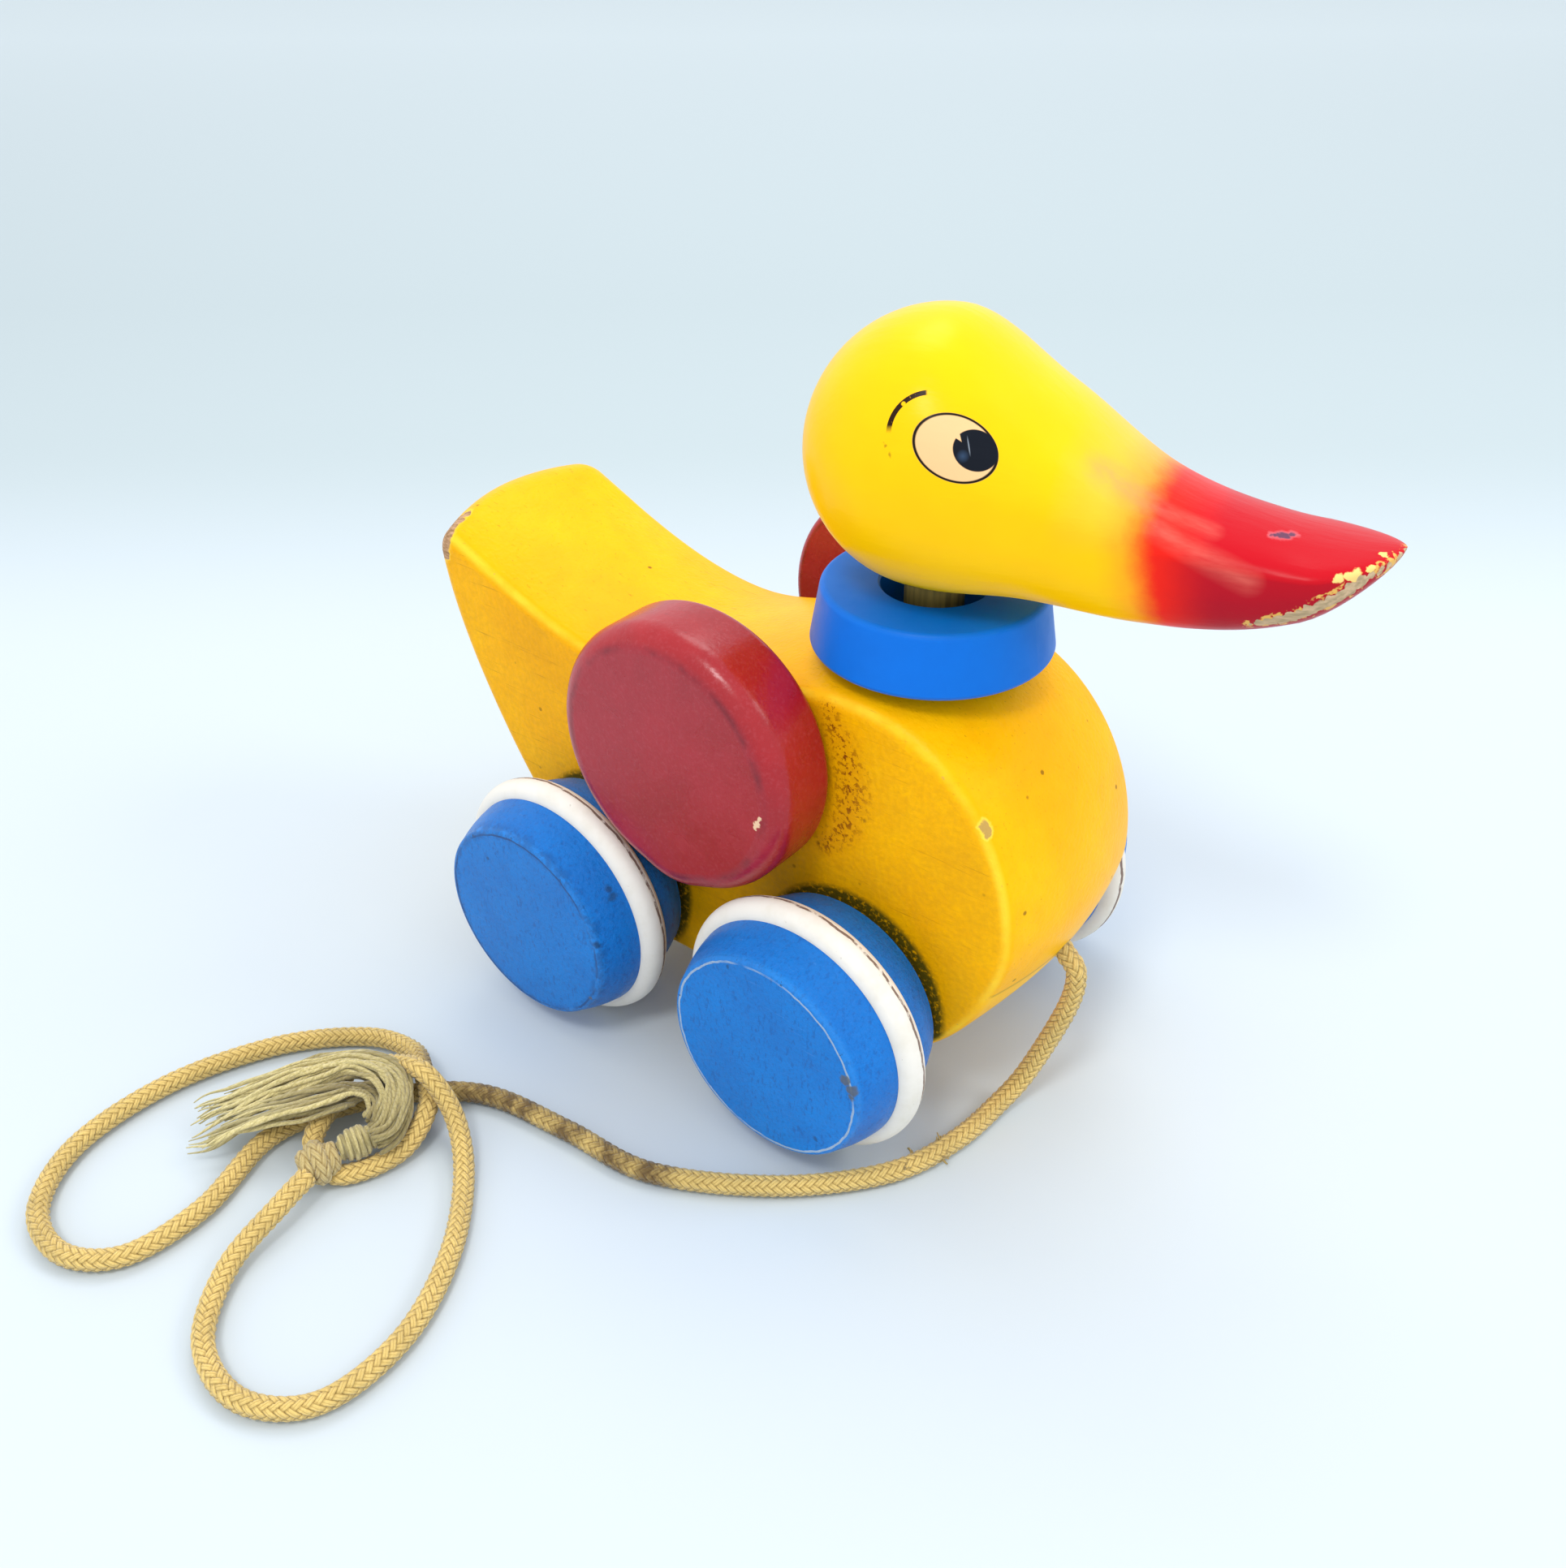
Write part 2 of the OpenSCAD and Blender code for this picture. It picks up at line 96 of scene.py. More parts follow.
class DuckSizes(bpy.types.PropertyGroup):
    """Sizes of the pieces that are modelled here."""

    cord_diameter: length_setting("Cord diameter", "Over the braid", 0.0039)
    braid_pitch: length_setting("Braid pitch", "Length in which a strand goes once round the cord", 0.0128)
    yarn_diameter: length_setting("Yarn diameter", "Of one yarn of the tassel", 0.00082)
    yarn_count: bpy.props.IntProperty(name="Yarns", description="How many yarns the tassel has", default=76)
    edge_radius: length_setting("Edge radius", "Rounding of the body's side edges", 0.0021)
    wing_edge: length_setting("Wing edge", "Rounding of a wing's outer edge", 0.0044)


class DuckColours(bpy.types.PropertyGroup):
    """Colours of the finishes."""

    yellow: colour_setting("Yellow enamel", "Body", "#FABA00")
    head_yellow: colour_setting("Head yellow", "Enamel of the head", "#FBC500")
    bill_red: colour_setting("Bill red", "Sprayed end of the bill", "#BE081A")
    wing_red: colour_setting("Wing red", "Lacquer of the wings", "#A5161F")
    wheel_blue: colour_setting("Wheel blue", "Enamel of the wheels", "#007CD4")
    collar_blue: colour_setting("Collar blue", "Moulded plastic", "#006CD2")
    rubber: colour_setting("Rubber", "Rings on the wheels", "#E4E0D6")
    cotton: colour_setting("Cotton", "Braid of the cord", "#E6C97C")
    wood: colour_setting("Bare wood", "Worn places of the body", "#C69E7A")
    floor: colour_setting("Floor", "Plain studio floor", "#C6D0D6")


def colours():
    """The colours as plain tuples."""
    group = bpy.context.scene.duck_colours
    return {key: tuple(getattr(group, key)) for key in DuckColours.__annotations__}


IN_MM = {"Scale": (1000, 1000, 1000)}


class Finish:
    """A material in the making: its nodes, the place on the piece in mm and patterns that finishes share."""

    def __init__(self, name, mapping=IN_MM, kind="POINT"):
        """Starts an empty tree. The mapping turns the object's coordinates into mm."""
        self.material = bpy.data.materials.new(name)
        self.material.use_nodes = True
        self.tree = self.material.node_tree
        self.tree.nodes.clear()
        place = self.add("TexCoord", out="Object")
        self.mm = self.add("Mapping", {"Vector": place, **mapping}, vector_type=kind)

    def add(self, kind, inputs=(), out=0, **settings):
        """Adds a node with its settings, sets or links its inputs by name or order, and gives an output."""
        node = self.tree.nodes.new("ShaderNode" + kind)
        for key, value in settings.items():
            setattr(node, key, value)
        for key, value in inputs.items() if isinstance(inputs, dict) else enumerate(inputs):
            if isinstance(value, bpy.types.NodeSocket):
                self.tree.links.new(value, node.inputs[key])
            else:
                node.inputs[key].default_value = value
        return node.outputs[out]

    def shade(self, inputs):
        """Ends the material with a Principled shader of these inputs."""
        ends = self.tree.nodes.new("ShaderNodeOutputMaterial")
        self.tree.links.new(self.add("BsdfPrincipled", inputs), ends.inputs["Surface"])
        return self.material

    def paint(self, colour, rough, height, lift, gloss, depth=0.3):
        """Ends a painted finish, its skin lifted by the height to this strength and depth in mm."""
        bump = self.add("Bump", {"Height": height, "Strength": lift, "Distance": depth * MM})
        return self.shade({
            "Base Color": colour, "Roughness": rough, "Normal": bump, "IOR": 1.5,
            "Specular IOR Level": gloss})

    def product(self, *factors):
        """The product of values."""
        found = factors[0]
        for value in factors[1:]:
            found = self.add("Math", [found, value], operation="MULTIPLY")
        return found

    def layers(self, base, *coats):
        """A base colour under coats: a mask, its strength unless that is 1, and a colour or hex value."""
        # A Mix node's input 0 is its share, 2 and 3 are its values, 4 and 5 its vectors, 6 and 7 its colours
        for mask, *strength, colour in coats:
            share = self.product(mask, *strength)
            over = tint(colour) if isinstance(colour, str) else colour
            base = self.add("Mix", {0: share, 6: base, 7: over}, 2, data_type="RGBA")
        return base

    def stipple(self, size, low, high, where=None):
        """Noise of this size in mm, cut between two levels to 0 and 1."""
        where = self.mm if where is None else where
        noise = self.add("TexNoise", {"Vector": where, "Scale": 1 / size, "Detail": 3.0, "Roughness": 0.65})
        return self.add("MapRange", [noise, low, high])

    def streaks(self, turn, scale, low, high):
        """Noise that is turned and drawn out, with its scale for each direction, cut between two levels."""
        drawn = self.add("Mapping", {"Vector": self.mm, "Rotation": turn, "Scale": scale})
        return self.stipple(1.0, low, high, drawn)

    def ragged(self, size, amount):
        """The place pushed about by noise of this size, by at most this many mm, for torn outlines."""
        noise = self.add("TexNoise", {"Vector": self.mm, "Scale": 1 / size, "Detail": 3.0}, "Color")
        push = self.add("VectorMath", [noise, (0.5, 0.5, 0.5)], operation="SUBTRACT")
        return self.add("VectorMath", [push, (2 * amount,) * 3, self.mm], operation="MULTIPLY_ADD")

    def spots(self, where, places, soft, grown=0.0):
        """1 in round places (x, y, z, radius in mm), grown by some mm and fading over a share of it."""
        found = None
        for x, y, z, radius in places:
            r = radius + grown
            away = self.add("VectorMath", [where, (x, y, z)], "Value", operation="DISTANCE")
            mark = self.add("MapRange", [away, r, r * (1 - soft)])
            found = mark if found is None else self.add("Math", [found, mark], operation="MAXIMUM")
        return found

    def strokes(self, lines):
        """1 on straight lines (start, end, radius in mm), falling to 0 at each radius."""
        found = None
        for a, b, r in lines:
            way = Vector(b) - Vector(a)
            way /= way.length_squared
            start = way.dot(Vector(a))
            share = self.add("VectorMath", [self.mm, tuple(way)], "Value", operation="DOT_PRODUCT")
            share = self.add("MapRange", [share, start, start + 1])
            foot = self.add("Mix", {0: share, 4: a, 5: b}, 1, data_type="VECTOR")
            away = self.add("VectorMath", [self.mm, foot], "Value", operation="DISTANCE")
            mark = self.add("MapRange", [away, r, 0.0])
            found = mark if found is None else self.add("Math", [found, mark], operation="MAXIMUM")
        return found

    def oval(self, where, axes, centre, radii):
        """Distance from an oval's centre, 1 on its outline, measured along its two axes."""
        scaled = [tuple(v / r for v in axis) for axis, r in zip(axes, radii)]
        a, b = (self.add("VectorMath", [where, axis], "Value", operation="DOT_PRODUCT") for axis in scaled)
        flat = self.add("CombineXYZ", [a, b])
        middle = (centre[0] / radii[0], centre[1] / radii[1], 0)
        return self.add("VectorMath", [flat, middle], "Value", operation="DISTANCE")

    def grain(self, stretch, light, dark):
        """Wood colour with grain lines, stretched by direction."""
        drawn = self.add("Mapping", {"Vector": self.mm, "Scale": stretch})
        lines = self.add("TexNoise", {"Vector": drawn, "Scale": 1.0, "Detail": 5.0})
        return self.layers(light, (self.add("MapRange", [lines, 0.35, 0.65]), dark))

    def mirrored(self):
        """The place's x, y and z with y taken positive, so that both sides are alike."""
        x, y, z = (self.add("SeparateXYZ", [self.mm], k) for k in "XYZ")
        return x, self.add("Math", [y], operation="ABSOLUTE"), z

    def lean(self):
        """How far the surface faces sideways, from 0 to 1."""
        normal = self.add("TexCoord", out="Normal")
        return self.add("Math", [self.add("SeparateXYZ", [normal], "Y")], operation="ABSOLUTE")

    def from_axle(self, x, z):
        """Distance from the nearer axle's middle line, in mm."""
        out_x = self.add("Math", [x], operation="ABSOLUTE")
        seen = self.add("CombineXYZ", [out_x, 0.0, z])
        return self.add("VectorMath", [seen, (AXLE_X, 0, AXLE_Z)], "Value", operation="DISTANCE")


def dress(piece, material):
    """Gives a piece this one material."""
    piece.data.materials.clear()
    piece.data.materials.append(material)


def seat(piece, material, body, node):
    """Finishes a piece and fixes it to its body, in place of its solid."""
    dress(piece, material)
    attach(piece, body)
    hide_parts(node)


def select(*pieces):
    """Selects these pieces alone and makes the first one active."""
    bpy.ops.object.select_all(action="DESELECT")
    for piece in pieces:
        piece.select_set(True)
    bpy.context.view_layer.objects.active = pieces[0]


def joined(name, pieces):
    """The pieces made one mesh under this name, the first one's data leading."""
    select(*pieces)
    bpy.ops.object.join()
    whole = bpy.context.object
    whole.name = whole.data.name = name
    return whole


def bezier(a, b, c, d, n):
    """n points of a cubic from a towards d, the end left out."""
    t = np.arange(n)[:, None] / n
    a, b, c, d = (np.array(p, float) for p in (a, b, c, d))
    return (1 - t) ** 3 * a + 3 * (1 - t) ** 2 * t * b + 3 * (1 - t) * t * t * c + t ** 3 * d


def arc(centre, radius, start, stop, n):
    """n + 1 points of an arc in degrees."""
    a = np.radians(np.linspace(start, stop, n + 1))
    return np.stack([centre[0] + radius * np.cos(a), centre[1] + radius * np.sin(a)], 1)


def on_line(p, i, t, first):
    """The place at the share t of span i on the smooth line through p, whose slope at its start is first."""
    n = len(p) - 1
    m = (p[i + 1] - p[i - 1]) / 2 if i else first
    q = (p[i + 2] - p[i]) / 2 if i < n - 1 else p[n] - p[n - 1]
    return ((2 * t ** 3 - 3 * t * t + 1) * p[i] + (t ** 3 - 2 * t * t + t) * m
            + (3 * t * t - 2 * t ** 3) * p[i + 1] + (t ** 3 - t * t) * q)


def spline(points, k):
    """The smooth line through the points with k steps to each span."""
    p = np.array(points, float)
    first = p[1] - p[0]
    found = [on_line(p, i, j / k, first) for i in range(len(p) - 1) for j in range(k)]
    return np.array(found + [p[-1]])


def along(values, share):
    """A value on the smooth line through values at this share of it, level at its start."""
    n = len(values) - 1
    i = min(int(share * n), n - 1)
    return on_line(values, i, share * n - i, 0.0)


def spaced(points, step):
    """The line through points with even steps, and the distance along it."""
    run = np.concatenate([[0], np.cumsum(np.linalg.norm(np.diff(points, axis=0), axis=1))])
    n = max(2, int(round(run[-1] / step)) + 1)
    s = np.linspace(0, run[-1], n)
    return np.stack([np.interp(s, run, points[:, k]) for k in range(3)], 1), s


def unit(vectors):
    """Vectors, one or one to a row, made 1 long."""
    return vectors / np.linalg.norm(vectors, axis=-1, keepdims=True)


def carried(line):
    """Two side directions at each point of a line, carried along it without twist."""
    t = unit(np.gradient(line, axis=0))
    u = np.zeros_like(t)
    side = np.cross(t[0], (0, 1, 0))
    for i in range(len(t)):
        side = unit(side - (side @ t[i]) * t[i])
        u[i] = side
    return u, np.cross(t, u)


def cap(pointed):
    """Closes the selected rim, to a point or with a face."""
    if pointed:
        bpy.ops.mesh.merge(type="CENTER")
    else:
        bpy.ops.mesh.edge_face_add()


def face_outwards():
    """Turns all faces of the mesh in edit mode outwards and leaves edit mode."""
    bpy.ops.mesh.select_all(action="SELECT")
    bpy.ops.mesh.normals_make_consistent(inside=False)
    bpy.ops.object.mode_set(mode="OBJECT")


def loft(name, rings, pointed=False):
    """Draws a circle, sets it to the first ring, extrudes it from ring to ring and closes both ends."""
    bpy.ops.object.select_all(action="DESELECT")
    bpy.ops.mesh.primitive_circle_add(vertices=len(rings[0]), radius=MM)
    piece = bpy.context.object
    piece.name = piece.data.name = name
    piece.matrix_world = Matrix.Identity(4)
    bpy.ops.object.mode_set(mode="EDIT")
    order = list(range(len(rings[0])))
    for k, ring in enumerate(rings):
        if k:
            bpy.ops.mesh.extrude_region_move()
        sheet = bmesh.from_edit_mesh(piece.data)
        sheet.verts.ensure_lookup_table()
        sheet.verts.index_update()
        if k:
            order = [next(e.other_vert(sheet.verts[i]).index for e in sheet.verts[i].link_edges
                          if e.other_vert(sheet.verts[i]).select) for i in order]
        for i, p in zip(order, ring):
            sheet.verts[i].co = Vector(p) * MM
        bmesh.update_edit_mesh(piece.data)
    cap(pointed)
    bpy.ops.mesh.select_all(action="DESELECT")
    sheet = bmesh.from_edit_mesh(piece.data)
    sheet.verts.ensure_lookup_table()
    for i in range(len(rings[0])):
        sheet.verts[i].select_set(True)
    sheet.select_flush(True)
    bmesh.update_edit_mesh(piece.data)
    cap(pointed)
    face_outwards()
    return piece


def drill(piece, start, end, radius):
    """Cuts a round hole from start to end with a cylinder, which is then removed."""
    a, b = Vector(start) * MM, Vector(end) * MM
    bpy.ops.object.select_all(action="DESELECT")
    bpy.ops.mesh.primitive_cylinder_add(
        vertices=BORE_SIDES, radius=radius * MM, depth=(b - a).length, location=(a + b) / 2,
        rotation=(b - a).to_track_quat("Z", "Y").to_euler())
    bit = bpy.context.object
    hole = piece.modifiers.new("hole", "BOOLEAN")
    hole.object, hole.operation, hole.solver = bit, "DIFFERENCE", "MANIFOLD"
    select(piece)
    bpy.ops.object.modifier_apply(modifier="hole")
    bpy.data.meshes.remove(bit.data)


def smooth(piece, degrees):
    """Smooth shading, with the sawn sides flat and the edges that turn more than this left sharp."""
    select(piece)
    bpy.ops.object.shade_smooth_by_angle(angle=math.radians(degrees))
    for face in piece.data.polygons:
        face.use_smooth = abs(face.normal.y) < 0.99999


def tube(name, line, radii, run, number=0):
    """A closed tube of radii by ring and side. Its UV map has the run in metres and the turn plus number."""
    n, sides = radii.shape
    u, v = carried(line)
    a = 2 * np.pi * np.arange(sides) / sides
    ring = np.cos(a)[None, :, None] * u[:, None, :] + np.sin(a)[None, :, None] * v[:, None, :]
    points = line[:, None, :] + radii[:, :, None] * ring
    verts = np.concatenate([points.reshape(-1, 3), line[:1], line[-1:]]) * MM
    i, j = np.meshgrid(np.arange(n - 1), np.arange(sides), indexing="ij")
    k = (j + 1) % sides
    quads = np.stack([i * sides + j, i * sides + k, (i + 1) * sides + k, (i + 1) * sides + j], -1)
    rim = [(j, (j + 1) % sides) for j in range(sides)]
    first = [(n * sides, after, j) for j, after in rim]
    last = [(n * sides + 1, (n - 1) * sides + j, (n - 1) * sides + after) for j, after in rim]
    mesh = bpy.data.meshes.new(name)
    mesh.from_pydata(verts.tolist(), [], quads.reshape(-1, 4).tolist() + first + last)
    runs = np.concatenate([np.repeat(run, sides), run[:1], run[-1:]])
    turns = np.concatenate([np.tile(np.arange(sides) / sides, n), [0, 0]]) + number
    loops = np.zeros(len(mesh.loops), np.int32)
    mesh.loops.foreach_get("vertex_index", loops)
    layer = mesh.uv_layers.new(name="run")
    layer.data.foreach_set("uv", np.stack([runs[loops] * MM, turns[loops]], 1).astype(np.float32).ravel())
    mesh.update()
    mesh.polygons.foreach_set("use_smooth", [True] * len(mesh.polygons))
    piece = bpy.data.objects.new(name, mesh)
    bpy.context.scene.collection.objects.link(piece)
    select(piece)
    bpy.ops.object.mode_set(mode="EDIT")
    face_outwards()
    return piece


# The camera's place in mm and its axes, as the photograph was taken
CAMERA_AT = (151.459, -193.109, 211.313)
CAMERA_RIGHT = (0.78246779, 0.62267802, -0.00403133)
CAMERA_UP = (-0.34730892, 0.44178949, 0.82716296)
CAMERA_BACK = (0.51683719, -0.64582825, 0.56194767)
FOCAL_PX, IMAGE_H = 1900.0, 1932.0
SENSOR = 36.0

# Round lamps in metres and watts: name, place, diameter, power. All aim at the toy's foot.
LAMPS = [("key", (-0.25, 0.35, 0.95), 0.5, 2.0), ("window", (0.7, 0.4, 0.75), 0.36, 2.4),
         ("lamp", (0.15, -0.5, 0.85), 0.22, 2.5)]
LAMP_AIM = (0.0, 0.0, 0.05)
FLOOR_SIZE = 8.0
SKY, SKY_STRENGTH = "#F8FAFF", 1.2

# The way the camera looks over the floor, and along it in mm where the flat card's painted shade of a
# backdrop grows, and where it is painted paler again
VIEW_AHEAD = (-0.625, 0.781, 0)
BACKDROP_SHADE_FROM, BACKDROP_SHADE_TO, FAR_FROM, FAR_TO = 120.0, 290.0, 450.0, 1200.0


def floor_card():
    """Smooth pale card: matt, painted greyer in a band where a backdrop would sweep up, as its shade, and
    paler again beyond.
    """
    f = Finish("floor_card")
    depth = f.add("VectorMath", [f.mm, VIEW_AHEAD], "Value", operation="DOT_PRODUCT")
    # Painted shade: the flat card greys along the view where a backdrop would stand, then is painted paler
    # again far off
    backdrop_shade = f.add("MapRange", [depth, BACKDROP_SHADE_FROM, BACKDROP_SHADE_TO], interpolation_type="SMOOTHSTEP")
    far = f.add("MapRange", [depth, FAR_FROM, FAR_TO])
    haze = f.add("TexNoise", {"Vector": f.mm, "Scale": 0.004, "Detail": 2.0})
    colour = f.layers(colours()["floor"], (haze, 0.2, "#C2CED4"), (backdrop_shade, "#B3C0C3"), (far, "#C9D5D8"))
    return f.shade({"Base Color": colour, "Roughness": 0.8, "Specular IOR Level": 0.2})


class DUCK_OT_stage(bpy.types.Operator):
    """Sets the camera, the soft studio light and the plain floor"""

    bl_idname = "duck.stage"
    bl_label = "Stage"

    def execute(self, context):
        """Makes the camera first, then the floor and the lights."""
        scene = context.scene
        camera = bpy.data.objects.new("camera", bpy.data.cameras.new("camera"))
        scene.collection.objects.link(camera)
        camera.data.sensor_width = SENSOR
        camera.data.lens = FOCAL_PX * SENSOR / IMAGE_H
        camera.data.clip_start, camera.data.clip_end = 0.01, 20.0
        turn = Matrix((CAMERA_RIGHT, CAMERA_UP, CAMERA_BACK)).transposed().to_4x4()
        camera.matrix_world = Matrix.Translation(Vector(CAMERA_AT) * MM) @ turn
        scene.camera = camera
        scene.view_settings.view_transform = "Standard"
        bpy.ops.object.select_all(action="DESELECT")
        bpy.ops.mesh.primitive_grid_add(
            x_subdivisions=8, y_subdivisions=8, size=FLOOR_SIZE, location=(0, 0, 0))
        floor = context.object
        floor.name = floor.data.name = "floor"
        dress(floor, floor_card())
        world = bpy.data.worlds.new("studio")
        scene.world = world
        world.use_nodes = True
        sky = world.node_tree.nodes["Background"]
        sky.inputs["Color"].default_value = tint(SKY)
        sky.inputs["Strength"].default_value = SKY_STRENGTH
        for name, place, size, power in LAMPS:
            light = bpy.data.objects.new(name, bpy.data.lights.new(name, "AREA"))
            scene.collection.objects.link(light)
            light.data.shape, light.data.size, light.data.energy = "DISK", size, power
            light.location = place
            light.rotation_mode = "QUATERNION"
            light.rotation_quaternion = (Vector(LAMP_AIM) - Vector(place)).to_track_quat("-Z", "Y")
        return {"FINISHED"}


# The cord's way out of its hole, its route over the floor, and what is tied on its far end, in mm
CORD_SLOPE = math.radians(45)
CORD_EXIT = (60.5, 0.0, 34.0)
CORD_DEEP = 11.0
ROUTE = [
    CORD_EXIT, (63, 0, 30.5), (62.4, -0.8, 22.5), (58.2, -4.2, 8), (56, -10, 2.7), (54.5, -23, 2.2),
    (49.5, -36.5, 2.2), (36, -51, 2.2), (16.5, -62.5, 2.2), (-2, -64.5, 2.2), (-20, -67.5, 2.2),
    (-32, -76.5, 2.2), (-40, -88.5, 2.2), (-43, -100, 2.2), (-38.5, -116, 2.2), (-40, -130, 2.2),
    (-49, -136.5, 2.2), (-61, -133.5, 2.2), (-69, -121, 2.2), (-69, -102, 2.2), (-61.5, -83.5, 2.2),
    (-50, -71.5, 2.3), (-38.5, -69.5, 4.2), (-29.5, -73.8, 6.7), (-23.2, -78.5, 5.8), (-21.5, -87, 2.7),
    (-26, -97, 2.4), (-34, -96, 4), (-37, -89, 6.5), (-41, -81.5, 6.9), (-35, -77, 8.3),
    (-26.2, -76.1, 11.2), (-18, -76.8, 5.8), (-8.5, -83.5, 2.2), (2.5, -96.5, 2.2), (9, -112, 2.2),
    (8, -127, 2.2), (-2, -134.5, 2.2), (-15, -132, 2.2), (-24, -121, 2.8), (-26, -108.5, 5.2),
    (-27.2, -102, 5.6)]
KNOT_AT, KNOT_AXIS = (-28.5, -98.8, 5.4), (0.2, 1.0, 0.1)
BULGE_FROM, BULGE_TO = (-27.3, -95, 6.2), (-25, -89.5, 6.4)
TASSEL_ROUTE = [
    (-24.9, -89.4, 6.3), (-24, -87.2, 7), (-25.6, -84, 8.6), (-28.8, -82, 10), (-32.7, -82, 10.8),
    (-36.7, -84.5, 11), (-39.5, -89, 10.4), (-43.5, -94, 9), (-48.3, -100, 6.6), (-52.5, -105, 4.4),
    (-55.5, -109, 2.6)]
TASSEL_W = [2.4, 3, 3.6, 4, 4.4, 4.8, 5, 5.2, 5.4, 5.2, 3.6]
TASSEL_T = [2.2, 2.4, 2.4, 2.3, 2.2, 2.2, 2.2, 2.1, 2, 1.8, 1.4]

# Strands each way round the braid, its sides, the steps to a span of its route and those along it in mm
STRANDS, BRAID_SIDES, SPAN_STEPS = 8, 64, 24
CORD_STEP, KNOT_STEP, WINDING_STEP = 0.42, 0.35, 0.25

# Tips of the pulled fibres, and round stains on the cord with their radius
TUFTS = [(49, -31, 2.6), (52.3, -25.2, 3.6), (56.6, -27.8, 2.6), (51.8, -35, 3.6)]
STAINS = [(-30, -70, 3, 8), (-21, -67, 2.2, 8), (-13, -65.6, 2.2, 7), (-2, -64, 2.2, 7),
          (9.5, -63.4, 2.2, 7), (17, -61.9, 2.2, 6)]

# Yarns with numbers from here on lie on the inside of the tassel's bend
INNER_YARNS = 100


def cotton(f, colour, rough, fibre, ridge, lift):
    """Ends a cotton finish: matt with a soft sheen, its plies and fibres raised by 0.3 mm."""
    rise = f.add("Math", [fibre, 0.4, ridge], operation="MULTIPLY_ADD")
    bump = f.add("Bump", {"Height": rise, "Strength": lift, "Distance": 0.3 * MM})
    return f.shade({
        "Base Color": colour, "Roughness": rough, "Normal": bump, "Specular IOR Level": 0.15,
        "Sheen Weight": 0.3, "Sheen Roughness": 0.5})


def plaited_cotton(name, light, dark, pitch, soil):
    """Plaited cotton: matt and fibrous, each strand of two plies, with handling dirt, a brown stain and
    painted shade between strands and plies.
    """
    f = Finish(name)
    run = f.add("UVMap", uv_map="run")
    along_m, turn = (f.add("SeparateXYZ", [run], k) for k in "XY")
    # Each place lies on a strand of either direction, counted by left and right: the one on top shows
    advance = f.add("Math", [along_m, STRANDS / pitch], operation="MULTIPLY")
    back = f.add("Math", [advance, -1.0], operation="MULTIPLY")
    left, right = (f.add("Math", [turn, STRANDS, v], operation="MULTIPLY_ADD") for v in (back, advance))
    i, j = (f.add("Math", [v], operation="FLOOR") for v in (left, right))
    both = f.add("Math", [i, j], operation="ADD")
    phase = f.add("Math", [both, 4.0], operation="FLOORED_MODULO")
    under = f.add("Math", [phase, 1.5], operation="GREATER_THAN")
    strand, across, own = (f.add("Mix", {0: under, 2: a, 3: b}, 0, data_type="FLOAT")
                           for a, b in ((left, right), (right, left), (i, j)))
    # Painted shade: darker where a strand dives under the other, and along the seams between strands
    dive_shade = f.add("Math", [f.add("Math", [across, own], operation="ADD"), 1.0], operation="PINGPONG")
    dive_shade = f.add("MapRange", [dive_shade, 0.4, 0.05, 0.0, 0.4])
    seam_shade = f.add("Math", [strand, 0.5], operation="PINGPONG")
    seam_shade = f.add("MapRange", [seam_shade, 0.16, 0.02, 0.0, 0.55])
    # Fibres of about 0.3 mm over the plies of about 0.6 mm, with painted shade in the grooves between plies
    ply = f.add("Math", [strand, 2.0], operation="MULTIPLY")
    ridge = f.add("Math", [ply, 0.5], operation="PINGPONG")
    groove_shade = f.add("MapRange", [ridge, 0.16, 0.0])
    fibre = f.add("TexNoise", {"Vector": f.mm, "Scale": 3.2, "Detail": 4.0, "Roughness": 0.7})
    fleck = f.add("MapRange", [fibre, 0.36, 0.62, 0.4, 0.0])
    dirt = f.stipple(11.0, 0.42, 0.7)
    stain = f.product(f.spots(f.mm, STAINS, 0.6), f.stipple(3.0, 0.2, 0.55))
    colour = f.layers(
        light, (fleck, dark), (groove_shade, 0.6, "#9A7830"), (dive_shade, "#8A6826"), (seam_shade, "#6E5220"),
        (dirt, soil, "#9A8550"), (stain, 0.9, "#5A452A"))
    return cotton(f, colour, 0.92, fibre, ridge, 0.7)


